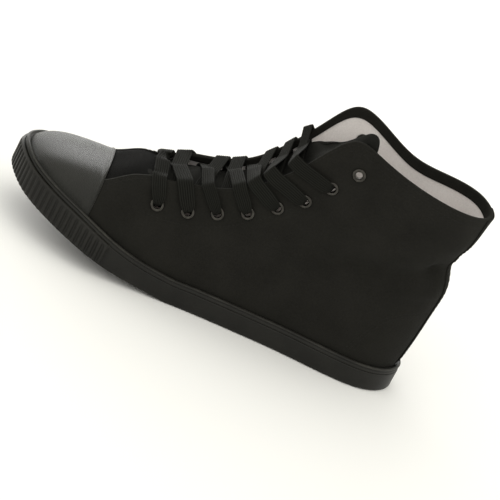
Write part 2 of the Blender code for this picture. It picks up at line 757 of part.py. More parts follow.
def edge_frame(line):
    """The throat edge at a line: the point, the way out of the wall, and the way on past the edge
    and square to it."""
    at, end = np.array(float(line)), np.array(1.0)
    point = upper(at, end)
    up_the_wall = point - upper(at, np.array(0.985))
    along = upper(at + 0.05, end) - upper(at - 0.05, end)
    out = np.cross(along, up_the_wall)
    out /= np.linalg.norm(out)
    past = np.cross(out, along / np.linalg.norm(along))
    return point, out, past if past @ up_the_wall > 0 else -past


def lace_over_flap(spot):
    """Points and facings of a lace from beside its eyelet, up the flap and round the flap's edge."""
    line, v, lace_edge = spot
    lift = LACE_THICKNESS / 2 + 4 * GAP
    shares = np.linspace(0, 0.985, 60)
    lines = line + (lace_edge - line) * np.minimum(shares / 0.86, 1)
    vs = v + (1 - v) * shares
    away = np.linalg.norm(upper(lines, vs) - upper(np.array(line), np.array(v)), axis=1)
    start = np.interp(EYELET_FLANGE_RADIUS + 4 * GAP, away, shares)
    kept = np.interp(np.linspace(start, shares[-1], LACE_POINTS_ON_FLAP), shares, np.arange(60.0))
    lines, vs = (np.interp(kept, np.arange(60.0), path) for path in (lines, vs))
    points = list(upper(lines, vs, np.full(len(vs), -lift)))
    facings = list(loft_normal(lines, vs))
    edge, out, past = edge_frame(lace_edge)
    points.append(edge + out * 0.8 * lift + past * 1.2 * lift)
    facings.append(out + past)
    return points, facings


def lace_to_middle(line):
    """The point where a lace has passed the edge of the flap and its hem, and its facing there."""
    edge, out, past = edge_frame(line)
    inside = WALL + HEM_THICKNESS + 3 * GAP
    return edge - out * inside + past * (LACE_THICKNESS / 2 + 4.5 * GAP), past + out / 2


def lace_under_flap(line):
    """Where a lace ends in the gap, just under the edge of the flap that it comes out from."""
    edge, out, past = edge_frame(line)
    inside = WALL + HEM_THICKNESS + 10 * GAP + LACE_THICKNESS / 2
    return edge - out * inside - past * 0.0024, past + out


def lace_strip(points, facings):
    """Patches of a flat strip through the points."""
    return strip(in_frame(np.asarray(points)), np.asarray(facings) * (-1, -1, 1), LACE_WIDTH, LACE_THICKNESS)


def build_lace_bar(outer, inner, finish):
    """The straight bar of lace between the first two eyelets."""
    points, facings = lace_over_flap(outer)
    back_points, back_facings = lace_over_flap(inner)
    raised = facings[-1] + back_facings[-1]
    middle = (points[-1] + back_points[-1]) / 2 + raised / np.linalg.norm(raised) * LACE_BAR_ARCH
    points += [middle, *back_points[::-1]]
    facings += [raised, *back_facings[::-1]]
    return patch_solid("lace_bar_1", lace_strip(points, facings), finish)


def build_lace_cross(row, outer, inner, finish):
    """Two strips of lace that cross in the gap, each into its own eyelet of this row from outside."""
    made = []
    corners = []
    for side in (outer, inner):
        below, above = side[row - 2][2], side[row - 1][2]
        corners += [edge_frame(below + (above - below) * LACE_LEAVES_AT), edge_frame(above)]
    centre = sum(corner[0] for corner in corners) / 4
    raised = sum(corner[2] for corner in corners)
    raised /= np.linalg.norm(raised)
    for side, other, height in ((outer, inner, 0.1), (inner, outer, -0.6)):
        points, facings = lace_over_flap(side[row - 1])
        past_edge, facing = lace_to_middle(side[row - 1][2])
        below, above = other[row - 2][2], other[row - 1][2]
        ending, end_facing = lace_under_flap(below + (above - below) * LACE_LEAVES_AT)
        points += [past_edge, centre + raised * height * LACE_THICKNESS, ending]
        facings += [facing, raised, end_facing]
        made.append(patch_solid(f"lace_cross_{row}", lace_strip(points, facings), finish))
    lower = made[1]
    lower.name = f"lace_cross_{row}_lower_strip"
    lower.hide_render = True
    lower.display_type = "WIRE"
    joined = made[0].modifiers.new("lower strip", "BOOLEAN")
    joined.operation = "UNION"
    joined.object = lower
    joined.solver = "EXACT"
    return made[0]


def main():
    for old in list(bpy.data.objects):
        bpy.data.objects.remove(old, do_unlink=True)
    canvas = material("black canvas", (0.018, 0.017, 0.016), 0.9)
    eyelet_metal = material("dark eyelet metal", (0.22, 0.20, 0.18), 0.38, 0.9)
    lace = material("dark grey lace", (0.055, 0.058, 0.052), 0.85)
    build_outsole(material("outsole rubber", (0.045, 0.044, 0.040), 0.7))
    build_foxing(material("foxing rubber", (0.024, 0.023, 0.021), 0.5))
    build_bumper(material("toe bumper rubber", (0.026, 0.026, 0.024), 0.5))
    build_insole(material("insole lining", (0.60, 0.55, 0.53), 0.95))
    shell = build_upper(canvas)
    build_toe_cap(material("toe cap rubber", (0.040, 0.042, 0.037), 0.42))
    build_tongue(material("tongue canvas", (0.020, 0.020, 0.022), 0.9))
    outer, inner = eyelet_places(True), eyelet_places(False)
    for side, spots in (("lateral", outer), ("medial", inner)):
        for number, spot in enumerate(spots, 1):
            build_eyelet(f"eyelet_{side}_{number}", spot, eyelet_metal)
    cut_eyelet_holes(shell, outer + inner, canvas)
    build_lace_bar(outer[0], inner[0], lace)
    for row in range(2, LACED_ROWS + 1):
        build_lace_cross(row, outer, inner, lace)


main()
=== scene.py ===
"""Looks of the high top sneaker, left foot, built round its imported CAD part.

Lengths are in metres, in the part's own frame: the toe points to -X, the outer side is -Y, +Z is up.
The sole and upper repeat the part's own tables and functions at a finer step, so each piece here
takes the place of the solid that it stands for.
"""

import math

import bmesh
import bpy
import numpy as np
from mathutils import Matrix

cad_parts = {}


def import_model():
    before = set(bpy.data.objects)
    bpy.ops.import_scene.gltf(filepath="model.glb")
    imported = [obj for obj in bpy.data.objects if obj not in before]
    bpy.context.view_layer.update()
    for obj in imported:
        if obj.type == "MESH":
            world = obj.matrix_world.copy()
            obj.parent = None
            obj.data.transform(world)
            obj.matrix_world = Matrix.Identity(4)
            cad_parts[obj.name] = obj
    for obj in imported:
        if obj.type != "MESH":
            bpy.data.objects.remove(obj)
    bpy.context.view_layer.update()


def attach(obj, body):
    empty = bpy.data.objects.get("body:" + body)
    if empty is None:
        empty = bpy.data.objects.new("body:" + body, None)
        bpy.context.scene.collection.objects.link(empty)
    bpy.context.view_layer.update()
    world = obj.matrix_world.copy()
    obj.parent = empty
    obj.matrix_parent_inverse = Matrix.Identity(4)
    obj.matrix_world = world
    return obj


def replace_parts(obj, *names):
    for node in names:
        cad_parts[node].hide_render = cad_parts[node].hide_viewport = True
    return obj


# Driving sizes
LENGTH = 0.290
BALL_WIDTH = 0.100
COLLAR_HEIGHT = 0.157
TOE_SPRING = 0.0250
GAP = 0.0003

# Sole and the rubber strips round it
OUTSOLE_THICKNESS = 0.0090
FOXING_THICKNESS = 0.0030
FOXING_HEIGHT = 0.0178
FOXING_HEIGHT_AT_TOE = 0.0229
BUMPER_THICKNESS = 0.0024
RIB_DEPTH = 0.0011
RIB_PITCH = 0.0044
BUMPER_BELOW_FOXING_TOP = 0.0038
BUMPER_START = 0.715
INSOLE_THICKNESS = 0.0040

# Upper and what is laid on it
WALL = 0.0020
TOE_CAP_THICKNESS = 0.0016
TOE_CAP_REAR = 0.8035
HEEL_STRIP_THICKNESS = 0.0009
HEEL_STRIP_HALF_LINES = 0.5
HEM_WIDTH = 0.0070
HEM_THICKNESS = 0.0008
TONGUE_THICKNESS = 0.0022
TONGUE_UNDER_FLAP = 0.014

# Eyelets and lace
EYELET_BARREL_RADIUS = 0.0028
EYELET_FLANGE_RADIUS = 0.0047
EYELET_METAL = 0.0005
LACE_WIDTH = 0.0085
LACED_ROWS = 7
LACE_BAR_ARCH = 0.0030

# Plan outline of the sole: share of LENGTH ahead of the heel, then the half widths outwards and
# inwards of the heel's centre line as shares of BALL_WIDTH
OUTLINE_COLUMNS = ("ahead", "lateral", "medial")
OUTLINE = (
    (1.000, -0.045, 0.045),
    (0.983, 0.134, 0.224),
    (0.950, 0.285, 0.354),
    (0.900, 0.389, 0.439),
    (0.830, 0.471, 0.490),
    (0.740, 0.517, 0.475),
    (0.640, 0.470, 0.395),
    (0.520, 0.398, 0.310),
    (0.400, 0.362, 0.292),
    (0.280, 0.342, 0.318),
    (0.160, 0.347, 0.340),
    (0.070, 0.302, 0.292),
    (0.018, 0.168, 0.165),
    (0.000, 0.000, 0.000),
)

# Profile lines of the upper, from the top of the foxing to the throat or collar edge. foot and
# top_ahead are shares of LENGTH, top_out and lean of BALL_WIDTH, top_up, rise and drop of
# COLLAR_HEIGHT. inner_ahead and inner_up take the place of top_ahead and top_up on the inner side.
# rise and lean set how the wall leaves the foxing. reach, a share of the way in plan back to the
# foot, and drop set how it arrives at the edge.
PROFILE_COLUMNS = (
    "foot", "top_ahead", "top_out", "top_up", "inner_ahead", "inner_up", "rise", "lean", "reach", "drop",
)
PROFILES = (
    (1.000, 0.707, 0.000, 0.452, 0.707, 0.452, 0.100, -0.020, 0.80, 0.072),
    (0.965, 0.706, 0.085, 0.452, 0.706, 0.452, 0.097, -0.015, 0.80, 0.073),
    (0.905, 0.702, 0.165, 0.448, 0.702, 0.450, 0.085, -0.005, 0.76, 0.082),
    (0.830, 0.684, 0.225, 0.454, 0.685, 0.460, 0.075, 0.005, 0.66, 0.100),
    (0.745, 0.647, 0.250, 0.478, 0.650, 0.492, 0.085, 0.012, 0.52, 0.125),
    (0.660, 0.586, 0.250, 0.512, 0.588, 0.528, 0.105, 0.015, 0.46, 0.145),
    (0.580, 0.524, 0.250, 0.567, 0.527, 0.583, 0.140, 0.012, 0.42, 0.165),
    (0.500, 0.472, 0.258, 0.656, 0.480, 0.666, 0.180, 0.015, 0.38, 0.195),
    (0.425, 0.429, 0.270, 0.758, 0.442, 0.762, 0.210, 0.015, 0.34, 0.215),
    (0.355, 0.395, 0.285, 0.866, 0.408, 0.862, 0.235, 0.015, 0.28, 0.225),
    (0.295, 0.364, 0.295, 0.951, 0.375, 0.960, 0.240, 0.015, 0.24, 0.235),
    (0.240, 0.326, 0.305, 0.984, 0.334, 1.000, 0.240, 0.014, 0.20, 0.245),
    (0.185, 0.262, 0.325, 0.957, 0.266, 0.957, 0.240, 0.014, 0.18, 0.240),
    (0.125, 0.179, 0.335, 0.924, 0.180, 0.896, 0.240, 0.016, 0.18, 0.225),
    (0.065, 0.090, 0.290, 0.898, 0.092, 0.899, 0.240, 0.026, 0.25, 0.210),
    (0.022, 0.017, 0.170, 0.880, 0.014, 0.908, 0.220, 0.044, 0.70, 0.203),
    (0.000, -0.021, 0.000, 0.882, -0.021, 0.882, 0.181, 0.058, 1.67, 0.212),
)

# Eyelets from the toe end, on both sides: the profile line and the v that each stands at
EYELET_COLUMNS = ("line", "v")
EYELETS = (
    (4.250, 0.6775),
    (5.150, 0.7025),
    (6.000, 0.7275),
    (6.950, 0.7200),
    (7.925, 0.7200),
    (8.950, 0.7075),
    (10.025, 0.7450),
    (11.175, 0.8425),
)

# Folds of the slack shaft, seen from the side: a soft trough or ridge along a line. Places are
# shares of LENGTH ahead and of COLLAR_HEIGHT up, width of COLLAR_HEIGHT, depth of BALL_WIDTH. side is
# 1 for the outer side alone, -1 for the inner and 0 for both.
FOLD_COLUMNS = ("ahead_a", "up_a", "ahead_b", "up_b", "width", "depth", "side")
FOLDS = (
    (-0.040, 0.675, 0.030, 0.600, 0.064, 0.054, 0),
    (0.030, 0.600, 0.206, 0.500, 0.070, 0.024, 0),
    (0.206, 0.500, 0.386, 0.432, 0.080, 0.014, 0),
    (-0.040, 0.500, 0.140, 0.400, 0.070, -0.003, 0),
)

# Soft creases that the part leaves out, in the same columns
CREASES = (
    (-0.020, 0.655, 0.055, 0.640, 0.022, -0.012, 0),
    (0.310, 0.470, 0.170, 0.515, 0.036, 0.018, 1),
    (0.170, 0.515, 0.040, 0.590, 0.030, 0.021, 1),
    (0.060, 0.600, 0.180, 0.540, 0.030, 0.006, -1),
    (0.110, 0.460, 0.020, 0.500, 0.026, -0.011, 1),
    (0.300, 0.520, 0.470, 0.470, 0.060, 0.008, 0),
    (0.420, 0.330, 0.560, 0.250, 0.070, 0.006, 1),
    (0.150, 0.720, 0.260, 0.640, 0.060, 0.005, 1),
    (0.120, 0.740, 0.270, 0.700, 0.060, 0.007, -1),
    (0.700, 0.330, 0.740, 0.240, 0.050, 0.004, 0),
)
FOLDS_FROM_V = 0.12
ONE_SIDE_FADES = (-0.004, 0.010)

LINES = 2 * (len(PROFILES) - 1)
BACK_LINE = len(PROFILES) - 1


def column(table, columns, name):
    """One named column of a table as an array."""
    return np.array([row[columns.index(name)] for row in table])


def spline(knots, values, period=None):
    """A cubic spline through values at knots, as a function. With a period it closes on itself."""
    x = np.asarray(knots, float)
    y = np.asarray(values, float)
    if period is not None:
        x = np.append(x, x[0] + period)
        y = np.append(y, y[:1], axis=0)
    n = len(x)
    h = np.diff(x)
    slope = np.diff(y, axis=0) / (h if y.ndim == 1 else h[:, None])
    a = np.zeros((n, n))
    b = np.zeros_like(y)
    for i in range(1, n - 1):
        a[i, i - 1 : i + 2] = h[i - 1], 2 * (h[i - 1] + h[i]), h[i]
        b[i] = 6 * (slope[i] - slope[i - 1])
    if period is None:
        a[0, 0] = a[-1, -1] = 1
    else:
        a[0, 0], a[0, 1], a[0, n - 2] = 2 * (h[-1] + h[0]), h[0], h[-1]
        b[0] = 6 * (slope[0] - slope[-1])
        a[-1, 0], a[-1, -1] = 1, -1
    bend = np.linalg.solve(a, b)

    def curve(at):
        at = np.asarray(at, float)
        if period is not None:
            at = x[0] + np.mod(at - x[0], period)
        i = np.clip(np.searchsorted(x, at, side="right") - 1, 0, n - 2)
        t, width = at - x[i], h[i]
        if y.ndim > 1:
            t, width = t[..., None], width[..., None]
        left, right = bend[i], bend[i + 1]
        rate = slope[i] - width * (2 * left + right) / 6
        return y[i] + t * (rate + t * (left / 2 + t * (right - left) / (6 * width)))

    return curve


def unit(vectors):
    """Vectors brought to length 1."""
    return vectors / np.linalg.norm(vectors, axis=-1, keepdims=True)


def smooth_step(x, low, high):
    """0 below low, 1 above high, and a soft rise between."""
    t = np.clip((np.asarray(x, float) - low) / (high - low), 0, 1)
    return t * t * (3 - 2 * t)


def place(ahead, out, up):
    """Points in the object's frame from distances ahead of the heel, towards the outer side and up."""
    return np.stack(np.broadcast_arrays(LENGTH / 2 - ahead, -np.asarray(out), up), axis=-1)


def floor_height(ahead):
    """How far toe spring lifts the bottom of the sole off the floor."""
    start, bend = 0.56, 1.2
    return TOE_SPRING * np.clip((np.asarray(ahead) / LENGTH - start) / (1 - start), 0, None) ** bend


def foxing_height(ahead):
    """Height of the foxing strip above the bottom of the sole: taller round the toe."""
    rise = smooth_step(np.asarray(ahead) / LENGTH, 0.62, 0.84)
    return FOXING_HEIGHT + (FOXING_HEIGHT_AT_TOE - FOXING_HEIGHT) * rise


def closed_outline():
    """The sole's plan outline as two functions of a share round it: the point, and the way out of it.
    The share runs from the toe along the outer side to the heel and back along the inner side."""
    ahead = column(OUTLINE, OUTLINE_COLUMNS, "ahead") * LENGTH
    lateral = column(OUTLINE, OUTLINE_COLUMNS, "lateral") * BALL_WIDTH
    medial = column(OUTLINE, OUTLINE_COLUMNS, "medial") * BALL_WIDTH
    points = np.concatenate(
        [
            np.stack([ahead, lateral], axis=1),
            np.stack([ahead, -medial], axis=1)[-2:0:-1],
        ]
    )
    steps = np.linalg.norm(np.diff(np.append(points, points[:1], axis=0), axis=0), axis=1)
    knots = np.concatenate([[0], np.cumsum(steps)[:-1]]) / steps.sum()
    curve = spline(knots, points, period=1.0)

    def outward(share):
        step = 1e-4
        along = curve(share + step) - curve(share - step)
        return unit(np.stack([along[..., 1], -along[..., 0]], axis=-1))

    return curve, outward, knots[len(OUTLINE) - 1]


OUTLINE_AT, OUTWARD_AT, HEEL_SHARE = closed_outline()


def share_of_foot(foot, outer_side):
    """The share round the outline that stands a given share of LENGTH ahead of the heel."""
    low, high = (0.0, HEEL_SHARE) if outer_side else (HEEL_SHARE, 1.0)
    shares = np.linspace(low, high, 600)
    ahead = OUTLINE_AT(shares)[:, 0] / LENGTH
    order = np.argsort(ahead)
    return np.interp(foot, ahead[order], shares[order])


def profile_rings():
    """Functions of the line number, from the toe along the outer side to the back and round again:
    the share of the outline that a profile line stands on, its top point, and its handles."""
    rows = {name: column(PROFILES, PROFILE_COLUMNS, name) for name in PROFILE_COLUMNS}
    feet = rows["foot"]
    outer = share_of_foot(feet[1:-1], True)
    inner = share_of_foot(feet[1:-1], False)[::-1]
    shares = np.concatenate([[0.0], outer, [HEEL_SHARE], inner])
    both = {name: np.append(v, v[-2:0:-1]) for name, v in rows.items()}
    is_outer = np.arange(LINES) <= BACK_LINE
    tops = np.stack(
        [
            np.where(is_outer, both["top_ahead"], both["inner_ahead"]) * LENGTH,
            np.where(is_outer, both["top_out"], -both["top_out"]) * BALL_WIDTH,
            np.where(is_outer, both["top_up"], both["inner_up"]) * COLLAR_HEIGHT,
        ],
        axis=1,
    )
    handles = np.stack(
        [
            both["rise"] * COLLAR_HEIGHT,
            both["lean"] * BALL_WIDTH,
            both["reach"],
            both["drop"] * COLLAR_HEIGHT,
        ],
        axis=1,
    )
    numbers = np.arange(LINES)
    drift = spline(numbers, shares - numbers / LINES, period=LINES)
    return drift, spline(numbers, tops, period=LINES), spline(numbers, handles, period=LINES)


SHARE_DRIFT, TOP_AT, HANDLES_AT = profile_rings()


def outline_share(line):
    """Share round the sole's outline where a profile line stands."""
    line = np.asarray(line, float)
    return line / LINES + SHARE_DRIFT(line)


def side_point(line, inset, height):
    """A point of the sole's side, inset from its outline and at a height above the sole's bottom."""
    share = outline_share(line)
    flat = OUTLINE_AT(share) - OUTWARD_AT(share) * np.asarray(inset)[..., None]
    return np.stack([flat[..., 0], flat[..., 1], floor_height(flat[..., 0]) + height], axis=-1)


def pressed_in(points, folds):
    """How far soft folds press the upper in, at points given as ahead, out and up."""
    depth = np.zeros(points.shape[:-1])
    flat = points[..., (0, 2)] / (LENGTH, COLLAR_HEIGHT)
    aspect = np.array([LENGTH / COLLAR_HEIGHT, 1.0])
    for row in folds:
        fold = dict(zip(FOLD_COLUMNS, row))
        a = np.array([fold["ahead_a"], fold["up_a"]])
        b = np.array([fold["ahead_b"], fold["up_b"]])
        along = (b - a) * aspect
        share = np.clip(((flat - a) * aspect) @ along / (along @ along), 0, 1)
        away = np.linalg.norm((flat - a) * aspect - share[..., None] * along, axis=-1)
        bump = fold["depth"] * BALL_WIDTH * np.exp(-((away / fold["width"]) ** 2))
        if fold["side"]:
            bump = bump * smooth_step(points[..., 1] * fold["side"], *ONE_SIDE_FADES)
        depth += bump
    return depth


def loft(line, v):
    """The smooth outside of the upper, before folds: v is 0 on the foxing's top and 1 at the edge."""
    line, v = np.broadcast_arrays(np.asarray(line, float), np.asarray(v, float))
    share = outline_share(line)
    foot = side_point(line, FOXING_THICKNESS + GAP, foxing_height(OUTLINE_AT(share)[..., 0]))
    out = OUTWARD_AT(share)
    top = TOP_AT(line)
    rise, lean, reach, drop = np.moveaxis(HANDLES_AT(line), -1, 0)
    low = foot + np.stack([out[..., 0] * lean, out[..., 1] * lean, rise], axis=-1)
    high = top + reach[..., None] * (low - top)
    high[..., 2] = top[..., 2] - drop
    t = v[..., None]
    s = 1 - t
    return s**3 * foot + 3 * s * s * t * low + 3 * s * t * t * high + t**3 * top


def loft_normal(line, v):
    """Unit vectors out of the upper."""
    line, v = np.broadcast_arrays(np.asarray(line, float), np.asarray(v, float))
    dl, dv = 0.02, 0.004
    across = loft(line + dl, v) - loft(line - dl, v)
    upward = loft(line, np.minimum(v + dv, 1)) - loft(line, np.maximum(v - dv, 0))
    return unit(np.cross(across, upward))


def upper(line, v, depth=0.0, folds=FOLDS):
    """A point of the upper, depth below its outside, in ahead, out and up."""
    points = loft(line, v)
    pressed = pressed_in(points, folds) * smooth_step(v, 0.0, FOLDS_FROM_V) + depth
    return points - loft_normal(line, v) * pressed[..., None]


def in_frame(points):
    """Points given as ahead, out and up, in the object's frame."""
    return place(points[..., 0], points[..., 1], points[..., 2])


def v_below_edge(line, distance):
    """The v that lies a distance down a profile line from the throat or collar edge."""
    vs = np.linspace(0, 1, 81)
    points = upper(np.full(81, float(line)), vs)
    steps = np.linalg.norm(np.diff(points, axis=0), axis=1)
    below = np.append(np.cumsum(steps[::-1])[::-1], 0)
    return float(np.interp(-distance, -below, vs))


def eyelet_places(outer_side):
    """Line number and v of each eyelet of one side, from the toe end."""
    lines, vs = (column(EYELETS, EYELET_COLUMNS, name) for name in EYELET_COLUMNS)
    return list(zip(lines if outer_side else LINES - lines, vs))


def frame_at(line, v):
    """Centre and three axes on the upper in the object's frame: along it, up it and out of it. The
    centre is raised to where a flat flange clears the curve of the upper."""
    step = 0.02
    middle = upper(line, v)
    per_line = np.linalg.norm(upper(line + step, v) - middle) / step
    per_v = np.linalg.norm(upper(line, v + step) - middle) / step
    angles = np.linspace(0, 2 * math.pi, 13)[:-1]
    far_lines = line + np.cos(angles) * EYELET_FLANGE_RADIUS / per_line
    far_vs = v + np.sin(angles) * EYELET_FLANGE_RADIUS / per_v
    rim = in_frame(upper(far_lines, far_vs))
    centre = in_frame(middle)
    along = unit(rim[0] - rim[6])
    out = unit(np.cross(along, rim[3] - rim[9]))
    if out @ (loft_normal(line, v) * (-1, -1, 1)) < 0:
        out = -out
    lift = max(0.0, float(np.max((rim - centre) @ out)))
    return centre + out * lift, along, np.cross(out, along), out


def turned(centre, axes, profile, sides):
    """Grid of points of a profile of (radius, height) turned about the third axis at centre."""
    along, across, out = axes
    angles = np.linspace(0, 2 * math.pi, sides + 1)
    ring = np.cos(angles)[:, None] * along + np.sin(angles)[:, None] * across
    ring[-1] = ring[0]
    return np.stack([centre + r * ring + h * out for r, h in profile])


def bumper_ends():
    """Line numbers where the ribbed bumper starts on the outer and inner side."""
    lines = np.linspace(0, BACK_LINE, 400)
    ahead = OUTLINE_AT(outline_share(lines))[:, 0]
    outer = np.interp(-BUMPER_START * LENGTH, -ahead, lines)
    ahead = OUTLINE_AT(outline_share(LINES - lines))[:, 0]
    inner = np.interp(-BUMPER_START * LENGTH, -ahead, lines)
    return -inner, outer


def edge_frame(line):
    """The throat edge at a line: the point, the way out of the wall, and the way on past the edge
    and square to it."""
    point = upper(line, 1.0)
    up_the_wall = point - upper(line, 0.985)
    along = upper(line + 0.05, 1.0) - upper(line - 0.05, 1.0)
    out = unit(np.cross(along, up_the_wall))
    past = np.cross(out, unit(along))
    return point, out, past if past @ up_the_wall > 0 else -past


# Canvas, lining and stitches, which the plain solids leave out
SHELL_COLUMNS = 432
SHELL_ROWS = 90
SHELL_EDGE_ROWS = 14
EXTRA_EDGE_COLUMNS = 44
HEM_ROWS = (0.02, 0.2, 0.4, 0.6, 0.8, 0.97)
HEM_ROUNDING = ((0.12, 0.0003), (0.5, 0.0006), (0.88, 0.0003))
CANVAS_THICKNESS = 0.0010
VAMP_DEPTH = 0.0007
VAMP_THICKNESS = 0.0006
VAMP_LINES = 4.2
VAMP_UNDER_QUARTER = 0.14
VAMP_LOWEST_V = 0.25
VAMP_RUMPLE = 0.0002
LINING_DEPTH = 0.0011
LINING_DEEPER_IN_FRONT = 0.0009
STAY_WRINKLE = 0.00035
CAP_LINES = 4
CAP_THIN_BORDER = 0.35
CAP_THICKER_AHEAD = 0.30
CAP_RIM = 0.00035
CAP_RIM_BEHIND = 0.0012
CAP_RIM_WIDTH = 0.0008
BUMPER_TRIM = 0.0046
BUMPER_ABOVE_SOLE = 0.0012
BUMPER_COLUMNS_PER_RIB = 14
STITCH_PITCH = 0.0030
STITCH_LENGTH = 0.0021
STITCH_WIDTH = 0.0006

# Where the front edge of the quarters crosses the vamp: profile line and v
QUARTER_EDGE_COLUMNS = ("line", "v")
QUARTER_EDGE = (
    (0.00, 0.30),
    (1.20, 0.34),
    (1.90, 0.42),
    (2.05, 0.54),
    (2.12, 0.68),
    (2.17, 0.78),
    (2.26, 0.87),
    (2.36, 0.96),
    (2.42, 1.00),
)
EDGE_LINES, EDGE_VS = (column(QUARTER_EDGE, QUARTER_EDGE_COLUMNS, name) for name in QUARTER_EDGE_COLUMNS)

# Arc of stitches round the heel counter: profile line and v, the same on both sides
COUNTER_COLUMNS = ("line", "v")
COUNTER_ARC = (
    (12.60, 0.02),
    (12.80, 0.09),
    (13.00, 0.15),
    (13.30, 0.24),
    (13.65, 0.30),
    (14.25, 0.35),
    (15.00, 0.38),
    (15.50, 0.39),
)


# The toe lies lower than the plain solid of the CAD: the share of its height above the foxing that
# it settles by, and the shares of LENGTH between which that sets in
TOE_SETTLES = 0.19
TOE_SETTLES_FROM = 0.74
TOE_SETTLES_FULLY = 0.82


def settled(points):
    """Points of the upper with the toe pressed down to the height that the photograph shows."""
    points = points.copy()
    height = np.maximum(points[..., 2] - foxing_height(points[..., 0]), 0)
    share = smooth_step(points[..., 0] / LENGTH, TOE_SETTLES_FROM, TOE_SETTLES_FULLY)
    points[..., 2] -= TOE_SETTLES * share * height
    return points


def creased(line, v, depth=0.0):
    """A point of the upper with the soft creases of worn canvas, depth below its outside."""
    return settled(upper(line, v, depth, FOLDS + CREASES))


def mesh_piece(name, patches, finish, uvs=None, merge=2e-6, sharp=40):
    """One mesh piece from rectangular patches of points. uvs gives weave coordinates for each patch."""
    corners = np.concatenate([patch.reshape(-1, 3) for patch in patches])
    faces = []
    base = 0
    for patch in patches:
        rows, cols = patch.shape[:2]
        at = base + np.arange((rows - 1) * cols).reshape(rows - 1, cols)[:, :-1].ravel()
        faces.append(np.stack([at, at + 1, at + cols + 1, at + cols], axis=1))
        base += rows * cols
    faces = np.concatenate(faces)
    mesh = bpy.data.meshes.new(name)
    mesh.from_pydata(corners, [], faces.tolist())
    layer = mesh.uv_layers.new(name="weave")
    if uvs is None:
        uvs = [np.zeros((*patch.shape[:2], 2)) for patch in patches]
    flat = np.concatenate([uv.reshape(-1, 2) for uv in uvs])
    layer.data.foreach_set("uv", flat[faces.ravel()].astype(np.float32).ravel())
    work = bmesh.new()
    work.from_mesh(mesh)
    bmesh.ops.remove_doubles(work, verts=work.verts, dist=merge)
    bmesh.ops.dissolve_degenerate(work, edges=work.edges, dist=1e-7)
    bmesh.ops.recalc_face_normals(work, faces=work.faces)
    work.to_mesh(mesh)
    work.free()
    mesh.shade_smooth()
    mesh.set_sharp_from_angle(angle=math.radians(sharp))
    mesh.materials.append(finish)
    made = bpy.data.objects.new(name, mesh)
    bpy.context.scene.collection.objects.link(made)
    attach(made, "root")
    return made


def lengths_along(points, axis):
    """Running length of a grid's rows or columns, for weave coordinates."""
    steps = np.linalg.norm(np.diff(points, axis=axis), axis=-1)
    first = np.zeros_like(np.take(steps, [0], axis=axis))
    return np.cumsum(np.concatenate([first, steps], axis=axis), axis=axis)


def weave_of(points):
    """Weave coordinates of a grid: length along its middle row, and up each column."""
    middle = points.shape[0] // 2
    u = np.broadcast_to(lengths_along(points[middle], 0), points.shape[:2])
    return np.stack([u, lengths_along(points, 0)], axis=-1)


def grid_piece(name, grid, finish, sharp=40):
    """A mesh piece from one grid of points, with weave coordinates."""
    return mesh_piece(name, [grid], finish, [weave_of(grid)], sharp=sharp)


def sheet_solid(name, outside, inside, finish, closed=False, rim=3, sharp=40):
    """A sheet with rounded borders between two grids of points."""
    patches = [outside, inside]
    uvs = [weave_of(outside), weave_of(inside)]
    borders = [(outside[0], inside[0], outside[1]), (outside[-1], inside[-1], outside[-2])]
    if not closed:
        borders.append((outside[:, 0], inside[:, 0], outside[:, 1]))
        borders.append((outside[:, -1], inside[:, -1], outside[:, -2]))
    for a, b, inner in borders:
        way = a - inner
        way = way / np.maximum(np.linalg.norm(way, axis=-1, keepdims=True), 1e-9)
        half = np.linalg.norm(a - b, axis=-1, keepdims=True) / 2
        turns = np.linspace(0, math.pi, rim + 2)
        rows = [
            (a + b) / 2 + (a - b) / 2 * math.cos(t) + way * half * 0.8 * math.sin(t) for t in turns
        ]
        rows[0], rows[-1] = a, b
        patch = np.stack(rows)
        if not closed:
            patch[:, 0] = np.linspace(patch[0, 0], patch[-1, 0], rim + 2)
            patch[:, -1] = np.linspace(patch[0, -1], patch[-1, -1], rim + 2)
        patches.append(patch)
        uvs.append(weave_of(patch))
    return mesh_piece(name, patches, finish, uvs, sharp=sharp)


def shell_lines(count, extra=0):
    """Profile lines once round the shoe, with extra ones where the quarters' edges run up the shoe."""
    edge = np.linspace(1.95, 2.60, extra + 2)[1:-1]
    return np.sort(np.concatenate([np.linspace(0, LINES, count + 1), edge, LINES - edge]))


def quarter_top(line):
    """The v of the quarters' upper edge: over the vamp in front, and the throat and collar behind."""
    away = np.minimum(np.mod(line, LINES), LINES - np.mod(line, LINES))
    return np.interp(away, EDGE_LINES, EDGE_VS)


def quarter_line(vs):
    """The profile line of the quarter's front edge at several values of v, on the outer side."""
    return np.interp(vs, EDGE_VS, EDGE_LINES)


def v_for_distance(lines, distance):
    """The v that lies a distance down each of several profile lines from the edge."""
    vs = np.linspace(0, 1, 161)
    grid_line, grid_v = np.meshgrid(lines, vs)
    points = loft(grid_line, grid_v)
    steps = np.linalg.norm(np.diff(points, axis=0), axis=-1)
    below = np.concatenate([np.cumsum(steps[::-1], axis=0)[::-1], np.zeros((1, len(lines)))])
    return np.array([np.interp(-distance, -below[:, k], vs) for k in range(len(lines))])


